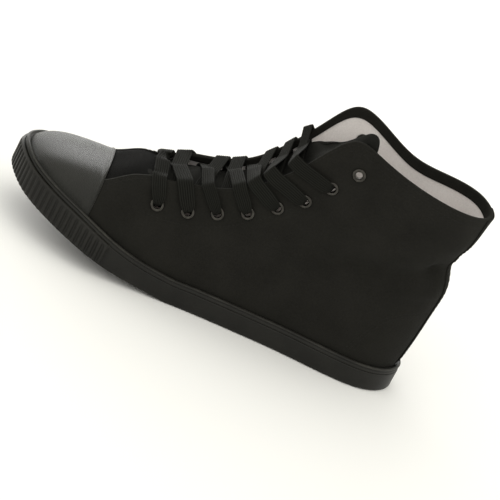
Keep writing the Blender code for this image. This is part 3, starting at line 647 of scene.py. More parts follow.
def build_canvas(finish):
    """The black canvas of the quarters, once round the shoe, with its edge turned in as a hem."""
    lines = shell_lines(SHELL_COLUMNS, EXTRA_EDGE_COLUMNS)
    top = quarter_top(lines)
    share = np.concatenate([np.linspace(0, 0.9, SHELL_ROWS), np.linspace(0.9, 1, SHELL_EDGE_ROWS + 1)[1:]])
    grid_v = share[:, None] * top[None, :]
    grid_line = np.broadcast_to(lines, grid_v.shape)
    foot, inner_foot = (
        side_point(lines, FOXING_THICKNESS + GAP + depth, OUTSOLE_THICKNESS + GAP)[None]
        for depth in (0.0, CANVAS_THICKNESS)
    )
    wall = creased(grid_line, grid_v)
    hem_v = np.where(top < 1, top - 0.01, v_for_distance(lines, HEM_WIDTH))
    hem_depth = np.where(top < 1, CANVAS_THICKNESS, WALL + HEM_THICKNESS)
    rim = [
        creased(lines, top, inward * hem_depth) + edge_way(lines, top) * past
        for inward, past in HEM_ROUNDING
    ]
    hem = [creased(lines, top + (hem_v - top) * down, hem_depth) for down in HEM_ROWS]
    back_v = np.linspace(1, 0, 30)[:, None] * (hem_v - 0.005)[None, :]
    back = creased(np.broadcast_to(lines, back_v.shape), back_v, CANVAS_THICKNESS)
    grid = np.concatenate([foot, wall, rim, hem, back, inner_foot, foot])
    return grid_piece("upper_canvas", once_round(in_frame(grid)), finish)


def edge_way(lines, top):
    """Unit vectors that carry the upper on past its edge."""
    return unit(loft(lines, top) - loft(lines, top - 0.02))


def once_round(points):
    """A grid whose last column is its first, so that the piece closes."""
    points = points.copy()
    points[:, -1] = points[:, 0]
    return points


def build_lining(finish):
    """The pale cloth inside the upper."""
    lines = shell_lines(260)
    hem_v = v_for_distance(lines, HEM_WIDTH * 0.9)
    vs = np.linspace(0, 1, 64)[:, None] * hem_v[None, :]
    grid_line = np.broadcast_to(lines, vs.shape)
    away = np.minimum(grid_line, LINES - grid_line)
    deeper = LINING_DEEPER_IN_FRONT * (1 - smooth_step(away, 4.2, 4.8)) * smooth_step(vs, 0.2, 0.4)
    outside = creased(grid_line, vs, LINING_DEPTH + deeper)
    inside = creased(grid_line, vs, WALL + deeper)
    foot, inner_foot = (
        side_point(lines, FOXING_THICKNESS + GAP + depth, OUTSOLE_THICKNESS + GAP)[None]
        for depth in (LINING_DEPTH, WALL)
    )
    outside = once_round(in_frame(np.concatenate([foot, outside])))
    inside = once_round(in_frame(np.concatenate([inner_foot, inside])))
    return sheet_solid("upper_lining", outside, inside, finish, closed=True)


def build_vamp(finish):
    """The vamp's canvas, which shows between the toe cap and the quarters' edges."""
    lines = np.linspace(-VAMP_LINES, VAMP_LINES, 150)
    low = np.maximum(quarter_top(lines) - VAMP_UNDER_QUARTER, VAMP_LOWEST_V)
    share = np.linspace(0, 1, 60)
    vs = low[None, :] + share[:, None] * (1 - low[None, :])
    grid_line = np.broadcast_to(lines, vs.shape)
    rumple = VAMP_RUMPLE * (1 + np.sin(vs * 31 + grid_line * 1.9)) * smooth_step(vs, 0.7, 0.9)
    outside = in_frame(creased(grid_line, vs, VAMP_DEPTH + rumple))
    inside = in_frame(creased(grid_line, vs, VAMP_DEPTH + VAMP_THICKNESS + rumple))
    return sheet_solid("vamp", outside, inside, finish)


def build_back_stay(finish):
    """The strip over the back seam, with the fine cross wrinkles of the ankle fold."""
    half = HEEL_STRIP_HALF_LINES
    lines = np.linspace(BACK_LINE - half, BACK_LINE + half, 25)
    vs = np.linspace(0.0, 1.0, 200)
    grid_line, grid_v = np.meshgrid(lines, vs)
    near = np.exp(-(((grid_v - 0.50) / 0.10) ** 2))
    wrinkles = STAY_WRINKLE * near * np.sin(grid_v * 230 + 1.5 * np.sin(grid_line * 5))
    outside = creased(grid_line, grid_v, -HEEL_STRIP_THICKNESS * smooth_step(grid_v, 0, 0.05) + wrinkles)
    inside = creased(grid_line, grid_v, 0.0002)
    return sheet_solid("back_stay", in_frame(outside), in_frame(inside), finish)


def cap_ends(lines):
    """The v where the toe cap is cut straight across on several profile lines, and where they start."""
    vs = np.linspace(0, 1, 241)
    ahead = loft(*np.meshgrid(lines, vs))[..., 0]
    return np.array([np.interp(-TOE_CAP_REAR * LENGTH, -line, vs) for line in ahead.T]), ahead[0]


def build_toe_cap(finish):
    """The rubber toe cap, thinner at its lower border and cut straight across behind, with a fine rim."""
    rear = TOE_CAP_REAR * LENGTH
    lines = np.linspace(-CAP_LINES, CAP_LINES, 801)
    ends, starts = cap_ends(lines)
    reach = lines[(ends > 0.03) & (starts > rear)]
    lines = np.linspace(reach[0], reach[-1], 200)
    share = np.concatenate([np.linspace(0, 0.94, 88), np.linspace(0.945, 1, 12)])
    grid_v = share[:, None] * cap_ends(lines)[0][None, :]
    grid_line = np.broadcast_to(lines, grid_v.shape)
    ahead = loft(grid_line, grid_v)[..., 0] - rear
    rim = CAP_RIM * np.exp(-(((ahead - CAP_RIM_BEHIND) / CAP_RIM_WIDTH) ** 2))
    thick = CAP_THIN_BORDER + CAP_THICKER_AHEAD * smooth_step(ahead, -0.0002, 0.0012)
    outside = in_frame(creased(grid_line, grid_v, -(TOE_CAP_THICKNESS * thick + rim)))
    inside = in_frame(creased(grid_line, grid_v, -0.00005))
    return sheet_solid("toe_cap_rubber", outside, inside, finish, sharp=60)


# Section of the foxing strip: how far in each point lies, and its height above the sole's bottom or
# above the strip's top
FOXING_FROM_BOTTOM = (
    (FOXING_THICKNESS, 0.0003),
    (0.0009, 0.0003),
    (0.0003, 0.0007),
    (0.0, 0.0014),
    (0.0, 0.0060),
)
FOXING_FROM_TOP = (
    (0.0, -0.0058),
    (0.0, -0.0048),
    (0.0001, -0.0045),
    (0.0006, -0.0043),
    (0.0006, -0.0040),
    (0.0002, -0.0037),
    (0.0002, -0.0030),
    (0.0004, -0.0024),
    (0.0007, -0.0021),
    (0.0007, -0.0018),
    (0.0003, -0.0015),
    (0.0000, -0.0010),
    (0.0001, -0.0005),
    (0.0005, -0.0001),
    (0.0011, 0.0001),
    (0.0018, -0.0001),
    (0.0023, -0.0005),
    (0.0028, -0.0007),
    (FOXING_THICKNESS, -0.0007),
)


def build_foxing(finish):
    """The side strip of the sole: a rounded bead along its top and a fine line below it."""
    lines = shell_lines(420)
    top = foxing_height(OUTLINE_AT(outline_share(lines))[:, 0])
    rows = [side_point(lines, inset, height) for inset, height in FOXING_FROM_BOTTOM]
    rows += [side_point(lines, inset, top + height) for inset, height in FOXING_FROM_TOP]
    rows.append(rows[0])
    return grid_piece("foxing_strip", in_frame(once_round(np.stack(rows))), finish, sharp=50)


# Section of the ribbed bumper: share of its height, how full it is there, and how deep the grooves
# between its ribs are
BUMPER_SECTION = (
    (0.00, 0.30, 0.0),
    (0.02, 0.75, 0.35),
    (0.06, 0.95, 1.0),
    (0.15, 1.00, 1.0),
    (0.50, 1.00, 1.0),
    (0.78, 1.00, 1.0),
    (0.86, 0.98, 0.8),
    (0.90, 0.92, 0.2),
    (0.93, 0.92, 0.0),
    (0.96, 0.85, 0.0),
    (0.985, 0.60, 0.0),
    (1.00, 0.15, 0.0),
)


def build_bumper(finish):
    """The ribbed strip round the toe, each rib rounded and its groove soft."""
    dense = np.linspace(*bumper_ends(), 900)
    along = lengths_along(side_point(dense, 0, 0), 0)
    length = along[-1] - 2 * BUMPER_TRIM
    ribs = int(round(length / RIB_PITCH))
    at = np.linspace(BUMPER_TRIM, along[-1] - BUMPER_TRIM, ribs * BUMPER_COLUMNS_PER_RIB + 1)
    lines = np.interp(at, along, dense)
    at -= BUMPER_TRIM
    wave = 0.5 - 0.5 * np.cos(2 * math.pi * at / at[-1] * ribs)
    crest = smooth_step(wave, 0.12, 0.75)
    ends = smooth_step(at, 0, 0.002) * smooth_step(at[-1] - at, 0, 0.002)
    top = foxing_height(OUTLINE_AT(outline_share(lines))[:, 0]) - BUMPER_BELOW_FOXING_TOP
    rows = [side_point(lines, -GAP, BUMPER_ABOVE_SOLE)]
    for share, bulge, ribbed in BUMPER_SECTION:
        groove = RIB_DEPTH * (1 - crest) * ribbed
        flush = 0.00045 * (1 - ribbed) * (share > 0.88)
        face = (BUMPER_THICKNESS - flush) * bulge - groove
        face = np.maximum(face * (0.3 + 0.7 * ends), 0.0002)
        height = BUMPER_ABOVE_SOLE + (top - BUMPER_ABOVE_SOLE) * share
        rows.append(side_point(lines, -GAP - face, height))
    rows.append(side_point(lines, -GAP, top))
    rows.append(rows[0])
    grid = in_frame(np.stack(rows))
    middle = (len(rows) - 1) // 2
    caps = [np.stack([grid[: middle + 1, col], grid[middle:, col][::-1]]) for col in (0, -1)]
    return mesh_piece("bumper_ribs", [grid, *caps], finish, sharp=50)


# Tread of the outsole: a smooth band round its edge, a low rim, then a field of short crinkles
TREAD_BAND = 0.0065
TREAD_RIM = 0.0010
TREAD_DEPTH = 0.0011
TREAD_STEP = 0.0042
TREAD_LENGTH = 0.0075
TREAD_WIDTH = 0.0009
TREAD_HALF_FIELD = 0.056
INSOLE_ROUNDING = 0.0012
INSOLE_DISH = 0.0012


def crinkles(points, rng):
    """Height from 0 to 1 of a field of short bent ridges at points given as ahead and out."""
    height = np.zeros(len(points))
    for ahead in np.arange(0, LENGTH, TREAD_STEP):
        near = np.nonzero(np.abs(points[:, 0] - ahead) < 0.009)[0]
        for out in np.arange(-TREAD_HALF_FIELD, TREAD_HALF_FIELD, TREAD_STEP):
            centre = np.array([ahead, out]) + rng.uniform(-0.45, 0.45, 2) * TREAD_STEP
            turn = rng.uniform(0, math.pi)
            bend = rng.uniform(-60, 60)
            size = TREAD_LENGTH * rng.uniform(0.55, 1.0) / 2
            close = near[np.abs(points[near, 1] - centre[1]) < 0.006]
            if not len(close):
                continue
            away = points[close] - centre
            x = away @ (math.cos(turn), math.sin(turn))
            y = away @ (-math.sin(turn), math.cos(turn)) - bend * x * x
            over = np.maximum(np.abs(x) - size, 0)
            far = np.hypot(over, y)
            ridge = 1 - smooth_step(far, TREAD_WIDTH * 0.45, TREAD_WIDTH * 1.25)
            height[close] = np.maximum(height[close], ridge * rng.uniform(0.8, 1.0))
    return height


def filled(rim, share):
    """Rows of points from the middle line of a ring out to the ring, at shares of the way."""
    spine = (rim + rim[::-1]) / 2
    return spine[None] + share[:, None, None] * (rim - spine)[None]


def build_outsole(finish):
    """The rubber plate with its tread underneath: a smooth band, a low rim and a field of crinkles."""
    lines = shell_lines(640)
    inset = FOXING_THICKNESS + GAP
    rim = side_point(lines, inset + 0.0004, 0.0)
    share = np.concatenate([np.linspace(0, 0.9, 56), np.linspace(0.91, 1, 16)])
    grid = filled(rim, share)
    from_edge = (1 - share)[:, None] * np.linalg.norm(rim - (rim + rim[::-1]) / 2, axis=-1)[None, :]
    height = crinkles(grid[..., :2].reshape(-1, 2), np.random.default_rng(7)).reshape(from_edge.shape)
    field = smooth_step(from_edge, TREAD_BAND, TREAD_BAND + 0.0012)
    ridge = np.exp(-(((from_edge - TREAD_BAND + 0.0006) / TREAD_RIM) ** 2))
    sunk = TREAD_DEPTH * (1 - np.maximum(height * field, ridge)) * smooth_step(from_edge, 0.0018, 0.0034)
    grid[..., 2] = floor_height(grid[..., 0]) + sunk
    side = [
        side_point(lines, inset + 0.0001, 0.0003),
        side_point(lines, inset, 0.0010),
        side_point(lines, inset, OUTSOLE_THICKNESS),
        side_point(lines, inset + 0.002, OUTSOLE_THICKNESS),
    ]
    cover = (side[-1] + side[-1][::-1]) / 2
    rows = in_frame(once_round(np.concatenate([grid, np.stack([*side, cover])])))
    return grid_piece("outsole_tread", rows, finish, sharp=50)


def build_insole(finish):
    """The insole: cloth over a thin pad, lightly dished under the foot."""
    lines = shell_lines(300)
    inset = FOXING_THICKNESS + GAP + WALL + GAP
    high = OUTSOLE_THICKNESS + 2 * GAP + INSOLE_THICKNESS
    share = np.linspace(1, 0, 34)
    grid = filled(side_point(lines, inset + INSOLE_ROUNDING, high), share)
    grid[..., 2] = floor_height(grid[..., 0]) + high - INSOLE_DISH * smooth_step(1 - share, 0, 0.5)[:, None]
    base = side_point(lines, inset, OUTSOLE_THICKNESS + GAP)
    under = (base + base[::-1]) / 2
    edge = [base, side_point(lines, inset, high - 0.0008)]
    rows = in_frame(once_round(np.concatenate([np.stack([under, *edge]), grid])))
    return grid_piece("insole_cloth", rows, finish)


# Top edge of the tongue, from its outer to its inner corner, in metres ahead, out and up
TONGUE_TOP = (
    (0.0850, 0.0262, 0.1500),
    (0.0868, 0.0250, 0.1575),
    (0.0905, 0.0215, 0.1605),
    (0.0945, 0.0155, 0.1565),
    (0.0990, 0.0095, 0.1480),
    (0.1040, 0.0030, 0.1405),
    (0.1095, -0.0040, 0.1335),
    (0.1140, -0.0110, 0.1250),
    (0.1180, -0.0170, 0.1160),
)

# Stations of the tongue: the profile line whose edge it passes, how far its middle stands above the
# line between the two flaps' edges as a share of BALL_WIDTH, and its depth under the flaps
TONGUE = (
    (3.60, -0.012, 0.0030),
    (4.50, -0.024, 0.0046),
    (5.50, -0.036, 0.0062),
    (6.50, -0.048, 0.0068),
    (7.50, -0.056, 0.0068),
    (8.50, -0.060, 0.0068),
)
TONGUE_POINTS = 13
TONGUE_FRONT_LINES = 3.2
TONGUE_ROWS = 190
TONGUE_COLUMNS_ACROSS = 84


def tongue_section(line, crown, depth):
    """Points across the tongue at one station, from its outer to its inner side."""
    anchors = []
    for at, sign in ((line, 1), (LINES - line, -1)):
        vs = np.array([v_below_edge(at, TONGUE_UNDER_FLAP), v_below_edge(at, 0.4 * TONGUE_UNDER_FLAP)])
        side = upper(np.full(2, float(at)), vs, np.array([depth, depth + 0.0030]))
        anchors.append(side if sign > 0 else side[::-1])
    near, _, near_past = edge_frame(line)
    far, _, far_past = edge_frame(LINES - line)
    centre = (near + far) / 2 + unit(near_past + far_past) * crown * BALL_WIDTH
    chain = np.concatenate([anchors[0], centre[None], anchors[1]])
    knots = lengths_along(chain, 0)
    return spline(knots, chain)(np.linspace(0, knots[-1], TONGUE_POINTS))


def build_tongue(finish):
    """The tongue: it goes on from the vamp, sags between the flaps and stands at the collar."""
    lines = np.linspace(TONGUE_FRONT_LINES, -TONGUE_FRONT_LINES, TONGUE_POINTS) % LINES
    rows = [upper(lines, 0.93, 0.0020), upper(lines, 0.995, 0.0011)]
    rows += [tongue_section(*station) for station in TONGUE]
    top = np.array(TONGUE_TOP)
    rows.append(spline(np.arange(len(top)), top)(np.linspace(0, len(top) - 1, TONGUE_POINTS)))
    rows = np.stack(rows)
    reach = lengths_along(rows[:, TONGUE_POINTS // 2], 0)
    fine = np.linspace(0, reach[-1], TONGUE_ROWS)
    dense = spline(reach, rows.reshape(len(rows), -1))(fine).reshape(TONGUE_ROWS, TONGUE_POINTS, 3)
    across = np.linspace(0, TONGUE_POINTS - 1, TONGUE_COLUMNS_ACROSS)
    grid = spline(np.arange(TONGUE_POINTS), np.moveaxis(dense, 1, 0).reshape(TONGUE_POINTS, -1))(across)
    outside = in_frame(np.moveaxis(grid.reshape(TONGUE_COLUMNS_ACROSS, TONGUE_ROWS, 3), 0, 1))
    normal = unit(np.cross(np.gradient(outside, axis=0), np.gradient(outside, axis=1)))
    if normal[20, TONGUE_COLUMNS_ACROSS // 2, 2] < 0:
        normal = -normal
    u, v = np.meshgrid(np.linspace(-1, 1, TONGUE_COLUMNS_ACROSS), fine)
    rumple = 0.0006 * np.sin(v * 260 + 2.2 * np.sin(u * 3 + 1)) * np.exp(-((u / 0.6) ** 2))
    rumple = rumple * smooth_step(v, 0.03, 0.06) + 0.00015 * np.sin(v * 610 + u * 4)
    outside = outside + normal * rumple[..., None]
    inside = outside - normal * TONGUE_THICKNESS
    return sheet_solid("tongue_canvas", outside, inside, finish)


def build_eyelets(finish):
    """A domed metal eyelet through the canvas at each place, with its rolled edge inside."""
    clear = 0.0001
    barrel = EYELET_BARREL_RADIUS
    flange = EYELET_FLANGE_RADIUS
    bore = barrel - EYELET_METAL
    back = -WALL - 0.0002
    profile = (
        (bore, back - 0.0003),
        (bore, 0.0002),
        (bore + 0.0002, clear + 0.0007),
        (barrel + 0.0002, clear + 0.0012),
        (barrel + 0.0008, clear + 0.0013),
        (flange - 0.0006, clear + 0.0011),
        (flange - 0.0001, clear + 0.0007),
        (flange, clear + 0.0003),
        (flange - 0.0002, clear),
        (barrel, clear),
        (barrel, back),
        (barrel + 0.0013, back),
        (barrel + 0.0015, back - 0.0004),
        (barrel + 0.0010, back - 0.0008),
        (barrel + 0.0002, back - 0.0008),
        (bore, back - 0.0003),
    )
    for side, outer_side in (("lateral", True), ("medial", False)):
        for number, spot in enumerate(eyelet_places(outer_side), 1):
            centre, *axes = frame_at(*spot)
            grid = turned(centre, axes, profile, 40)
            made = mesh_piece(f"eyelet_ring_{side}_{number}", [grid], finish, sharp=60)
            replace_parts(made, f"eyelet_{side}_{number}")


def cut_holes(targets, finish):
    """Cuts the eyelet holes through the canvas and lining."""
    patches = []
    radius = EYELET_BARREL_RADIUS + 0.0001
    for outer_side in (True, False):
        for spot in eyelet_places(outer_side):
            centre, *axes = frame_at(*spot)
            profile = ((0, 0.006), (radius, 0.006), (radius, -0.009), (0, -0.009))
            patches.append(turned(centre, axes, profile, 24))
    cutter = mesh_piece("hole_cutter", patches, finish)
    for target in targets:
        holes = target.modifiers.new("eyelet holes", "BOOLEAN")
        holes.operation = "DIFFERENCE"
        holes.object = cutter
        holes.solver = "EXACT"
        bpy.context.view_layer.objects.active = target
        bpy.ops.object.modifier_apply(modifier=holes.name)
    bpy.data.objects.remove(cutter, do_unlink=True)


# The lace over each flap, from the toe end. On each side: how far it stands up past the flap's edge and
# its width, in metres, and the profile line where it meets that edge. Then where it comes out under
# the flap, between the edges of two rows.
LACE_COLUMNS = (
    "lateral_over", "medial_over", "lateral_width", "medial_width", "lateral_edge", "medial_edge", "leave",
)
LACE_ROWS = (
    (0.0004, 0.0000, 0.0098, 0.0096, 2.47, 2.08, 0.50),
    (0.0006, 0.0000, 0.0106, 0.0104, 4.15, 3.80, 0.62),
    (0.0004, -0.0004, 0.0084, 0.0096, 4.97, 5.20, 0.62),
    (0.0012, -0.0004, 0.0094, 0.0094, 6.00, 5.75, 0.55),
    (0.0026, -0.0004, 0.0102, 0.0092, 6.55, 6.95, 0.40),
    (0.0056, -0.0002, 0.0102, 0.0090, 7.20, 7.70, 0.60),
    (0.0060, 0.0030, 0.0098, 0.0068, 8.10, 8.45, 0.60),
)
LACE_REAL_THICKNESS = 0.0014
EDGE_HIGHLIGHT_RADIUS = 0.00038
LACE_RIBS = 7
LACE_RIB_DEPTH = 0.00034
LACE_INTO_EYELET = 0.0038
LACE_CLEARANCE = 0.0010
LACE_STEP = 0.00056
LACE_SOFTNESS = 0.0011
SIDES = ("lateral", "medial")


def throat_frame(line):
    """Middle of the throat at a profile line, and the unit vector square to the throat there."""
    middles = [(edge_frame(at)[0] + edge_frame(LINES - at)[0]) / 2 for at in (line - 0.4, line, line + 0.4)]
    raised = np.cross(middles[2] - middles[0], edge_frame(line)[0] - edge_frame(LINES - line)[0])
    return middles[1], unit(raised) * np.sign(raised[2])


def lace_spots():
    """Line, v and line of the lace's edge for each laced eyelet of the outer and of the inner side."""
    edges = [column(LACE_ROWS, LACE_COLUMNS, f"{side}_edge") for side in SIDES]
    outer = [(line, v, edge) for (line, v), edge in zip(eyelet_places(True), edges[0])]
    return outer, [(line, v, LINES - edge) for (line, v), edge in zip(eyelet_places(False), edges[1])]


def on_chord(spot, share):
    """Line and v of the surface nearest to a point on the straight way from an eyelet to its edge."""
    line, v, lace_edge = spot
    first, last = upper(line, v), edge_frame(lace_edge)[0]
    low, high = sorted((line, lace_edge))
    grid = np.meshgrid(np.linspace(low - 0.5, high + 0.5, 90), np.linspace(v - 0.1, 1, 90))
    away = np.linalg.norm(upper(*grid) - (first + (last - first) * share), axis=-1)
    nearest = np.unravel_index(np.argmin(away), away.shape)
    return grid[0][nearest], grid[1][nearest]


def lace_down_flap(side, number, spots, turn):
    """Key points of the lace over the flap's edge, down to its eyelet and in through it."""
    row = dict(zip(LACE_COLUMNS, LACE_ROWS[number]))
    width = row[f"{SIDES[side]}_width"]
    over = row[f"{SIDES[side]}_over"]
    line, v, lace_edge = spots[side][number]
    lift = LACE_REAL_THICKNESS / 2 + LACE_CLEARANCE
    centre = upper(line, v)
    facing = loft_normal(line, v)
    edge, out, past = edge_frame(lace_edge)
    way = unit(edge - centre)
    top_way = unit(way + 0.4 * past if side == 0 else past + (0, 0, max(150 * over, 0)))
    keys = [(edge + top_way * (lift + over), (top_way + 0.4 * out) * turn, width, 1.0)]
    keys.append((edge + out * lift, (out + 0.2 * past) * turn, width, 1.0))
    for share, more in ((0.80, 0.0002), (0.50, 0.0006)):
        at, spot_v = on_chord(spots[side][number], share)
        keys.append((upper(at, spot_v, -lift - more), loft_normal(at, spot_v) * turn, width, 1.0))
    up = unit(way - facing * (way @ facing))
    keys.append((centre + up * EYELET_FLANGE_RADIUS + facing * 0.0030, facing * turn, width * 0.94, 1.1))
    keys.append((centre + up * 0.0012 + facing * 0.0024, (facing - up) * turn, 0.72 * width, 1.4))
    keys.append((centre - facing * 0.0016, -up * turn, LACE_INTO_EYELET, 1.6))
    return keys


def lace_inside(side, number, leave, spots, width, turn):
    """Key points of the lace inside the flap, from its eyelet to where it comes out past the edge."""
    line, v, _ = spots[side][number]
    depth = WALL + HEM_THICKNESS + 0.0024
    facing = loft_normal(line, v)
    low = upper(line, v + 0.15 * (1 - v), depth)
    middle = upper(0.4 * line + 0.6 * leave, v + 0.6 * (1 - v), depth + 0.0008)
    edge, out, past = edge_frame(leave)
    under = edge - out * (depth + 0.0014) - past * 0.0022
    return [
        (low, facing * turn, 0.6 * width, 1.2),
        (middle, facing * turn, width, 1.0),
        (under, (out + 0.9 * past) * turn, width, 1.0),
    ]


def lace_half(side, spots):
    """Key points of one half of the lace, from its first eyelet to its end inside the top one."""
    keys = []
    turn = -1
    for number in range(1, LACED_ROWS):
        row = dict(zip(LACE_COLUMNS, LACE_ROWS[number]))
        below, above = (spots[side][k][2] for k in (number - 1, number))
        leave = below + (above - below) * row["leave"]
        width = row[f"{SIDES[1 - side]}_width"]
        keys += lace_inside(side, number - 1, leave, spots, width, turn)
        target = spots[1 - side][number][2]
        start, end = edge_frame(leave)[0], edge_frame(target)[0]
        _, raised = throat_frame(min(target, LINES - target))
        height = 0.0018 if side == 1 else -0.0002
        keys.append(((start + end) / 2 + raised * height, raised * turn, width, 1.0))
        side = 1 - side
        keys += lace_down_flap(side, number, spots, turn)
        turn = -turn
    line, v, _ = spots[side][LACED_ROWS - 1]
    depth = WALL + HEM_THICKNESS + 0.0026
    for share in (0.25, 0.6, 1.0):
        at = line + share * (0.9 if side == 0 else -0.9)
        keys.append((upper(at, v, depth), loft_normal(at, v) * turn, 0.7 * width, 1.2))
    return keys


def softened(values):
    """Rows of values smoothed along the lace, with its two ends kept."""
    reach = int(3 * LACE_SOFTNESS / LACE_STEP)
    weights = np.exp(-0.5 * (np.arange(-reach, reach + 1) * LACE_STEP / LACE_SOFTNESS) ** 2)
    padded = np.concatenate([np.repeat(values[:1], reach, 0), values, np.repeat(values[-1:], reach, 0)])
    columns = [np.convolve(padded[:, k], weights / weights.sum(), "valid") for k in range(values.shape[1])]
    return np.stack(columns, axis=1)


def lace_mesh(keys, finish):
    """The ribbed flat lace along its key points, each a place, a facing, a width and a thickness."""
    points = in_frame(np.array([key[0] for key in keys]))
    facing = unit(np.array([key[1] for key in keys]) * (-1, -1, 1))
    sizes = np.array([key[2:] for key in keys])
    knots = lengths_along(points, 0)
    at = np.linspace(0, knots[-1], int(knots[-1] / LACE_STEP))
    values = np.concatenate([points, facing, sizes], axis=1)
    dense = np.stack([np.interp(at, knots, values[:, k]) for k in range(values.shape[1])], axis=1)
    dense = softened(dense)[::2]
    path, normal, wide, thick = dense[:, :3], dense[:, 3:6], dense[:, 6], dense[:, 7]
    along = unit(np.gradient(path, axis=0))
    across = unit(np.cross(along, normal))
    normal = np.cross(across, along)
    x = np.linspace(-1, 1, LACE_RIBS * 6 + 1)
    rounded = np.sqrt(np.maximum(1 - np.abs(x) ** 8, 0.0))
    ribs = LACE_RIB_DEPTH * (np.abs(np.sin(math.pi * LACE_RIBS * (x + 1) / 2)) ** 0.6 - 1)
    top = rounded * (LACE_REAL_THICKNESS / 2 + ribs)
    loop_x = np.concatenate([x, x[-2:0:-1], x[:1]])
    loop_h = np.concatenate([top, -top[-2:0:-1], top[:1]])
    grid = (
        path[None]
        + across[None] * (loop_x[:, None, None] * wide[None, :, None] / 2)
        + normal[None] * (loop_h[:, None, None] * thick[None, :, None])
    )
    ends = [np.stack([grid[: len(x), col], grid[len(x) - 1 :, col][::-1]]) for col in (0, -1)]
    u = np.broadcast_to((loop_x[:, None] + 1) * LACE_WIDTH / 2, grid.shape[:2])
    uv = np.stack([u, np.broadcast_to(lengths_along(path, 0), grid.shape[:2])], axis=-1)
    blank = [np.zeros((*end.shape[:2], 2)) for end in ends]
    made = mesh_piece("lace", [grid, *ends], finish, [uv, *blank], merge=1e-7, sharp=70)
    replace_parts(made, "lace_bar_1", *[f"lace_cross_{row}" for row in range(2, LACED_ROWS + 1)])
    return made


def build_lace(finish):
    """The whole lace: the bar between the first two eyelets, and the two halves that cross above it."""
    spots = lace_spots()
    near, far = (lace_down_flap(side, 0, spots, 1) for side in (0, 1))
    first, last = (edge_frame(spots[side][0][2])[0] for side in (0, 1))
    _, raised = throat_frame(spots[0][0][2])
    bar = (first + last) / 2 + raised * (LACE_REAL_THICKNESS + LACE_BAR_ARCH)
    middle = [(bar, raised, dict(zip(LACE_COLUMNS, LACE_ROWS[0]))["medial_width"], 1.0)]
    keys = lace_half(0, spots)[::-1] + near[::-1] + middle + far + lace_half(1, spots)
    return lace_mesh(keys, finish)


def build_edge_highlight(finish):
    """A fine light cord along the front edge of each quarter: a painted highlight where the edge's fold
    catches light.
    """
    patches = []
    turns = np.linspace(0, 2 * math.pi, 9)
    for sign in (1, -1):
        vs = np.linspace(0.40, 1.0, 150)
        middle, out = on_canvas(sign * (quarter_line(vs) - 0.02), vs, -0.0001)
        across = np.cross(unit(np.gradient(middle, axis=0)), out)
        ring = [across * math.cos(t) + out * math.sin(t) for t in turns]
        patches.append(np.stack([middle + EDGE_HIGHLIGHT_RADIUS * spoke for spoke in ring]))
    return mesh_piece("quarter_edge_highlight", patches, finish, merge=1e-8, sharp=80)


def stitch_run(points, normals):
    """Grids of a row of small raised stitches along points."""
    along = lengths_along(points, 0)
    patches = []
    half_angles = np.linspace(0, math.pi, 5)
    for start in np.arange(0.0006, along[-1] - STITCH_LENGTH, STITCH_PITCH):
        at = start + np.linspace(0, STITCH_LENGTH, 6)
        middle = np.stack([np.interp(at, along, points[:, k]) for k in range(3)], axis=1)
        out = unit(np.stack([np.interp(at, along, normals[:, k]) for k in range(3)], axis=1))
        across = np.cross(out, unit(np.gradient(middle, axis=0)))
        swell = np.sqrt(np.maximum(1 - np.linspace(-1, 1, 6) ** 4, 0.04))[:, None]
        rows = [
            middle + across * math.cos(t) * STITCH_WIDTH / 2 * swell
            + out * (math.sin(t) * STITCH_WIDTH * 0.55 * swell - 0.00008)
            for t in half_angles
        ]
        patches.append(np.stack(rows))
    return patches


def on_canvas(lines, vs, lift):
    """Points and normals in the frame along a path on the upper."""
    points = in_frame(creased(lines, vs, -lift))
    return points, loft_normal(lines, vs) * (-1, -1, 1)


def build_stitching(finish):
    """Rows of stitches: quarter edges, throat and collar, eyelet facing, heel counter, back stay."""
    patches = []
    for sign in (1, -1):
        for beside in (0.20, 0.42):
            vs = np.linspace(0.52, 0.99, 90)
            patches += stitch_run(*on_canvas(sign * (quarter_line(vs) + beside), vs, 0.0))
        lines = np.linspace(4.2, 15.4, 320)
        patches += stitch_run(*on_canvas(sign * lines, v_for_distance(lines, 0.0022), 0.0))
        lines = np.linspace(10.3, 15.4, 200)
        patches += stitch_run(*on_canvas(sign * lines, v_for_distance(lines, 0.0062), 0.0))
        lines = np.linspace(4.0, 10.6, 240)
        facing = v_for_distance(lines, 0.034)
        patches += stitch_run(*on_canvas(sign * lines, facing, 0.0))
        arc = np.linspace(0, len(COUNTER_ARC) - 1, 120)
        knots = np.arange(len(COUNTER_ARC))
        arc_line = spline(knots, column(COUNTER_ARC, COUNTER_COLUMNS, "line"))(arc)
        arc_v = spline(knots, column(COUNTER_ARC, COUNTER_COLUMNS, "v"))(arc)
        for step in (0.0, 0.10):
            patches += stitch_run(*on_canvas(sign * (arc_line + step), arc_v - step * 0.12, 0.0))
        vs = np.linspace(0.03, 0.985, 200)
        lines = np.full(200, BACK_LINE - HEEL_STRIP_HALF_LINES + 0.07)
        patches += stitch_run(*on_canvas(sign * lines, vs, HEEL_STRIP_THICKNESS))
    return mesh_piece("stitching", patches, finish, merge=1e-8, sharp=80)


def shader_of(name, colour, roughness, metallic=0.0, **sockets):
    """A Principled material and the parts of its node tree that the finishes below build on."""
    made = bpy.data.materials.new(name)
    made.use_nodes = True
    tree = made.node_tree
    shader = tree.nodes["Principled BSDF"]
    shader.inputs["Base Color"].default_value = (*colour, 1.0)
    shader.inputs["Roughness"].default_value = roughness
    shader.inputs["Metallic"].default_value = metallic
    for socket, value in sockets.items():
        shader.inputs[socket.replace("_", " ")].default_value = value
    return made, tree, shader


def math_node(tree, operation, *inputs):
    """The output of a Math node. Each input is a number or another node's output."""
    made = tree.nodes.new("ShaderNodeMath")
    made.operation = operation
    for socket, value in zip(made.inputs, inputs):
        if isinstance(value, (int, float)):
            socket.default_value = value
        else:
            tree.links.new(value, socket)
    return made.outputs[0]


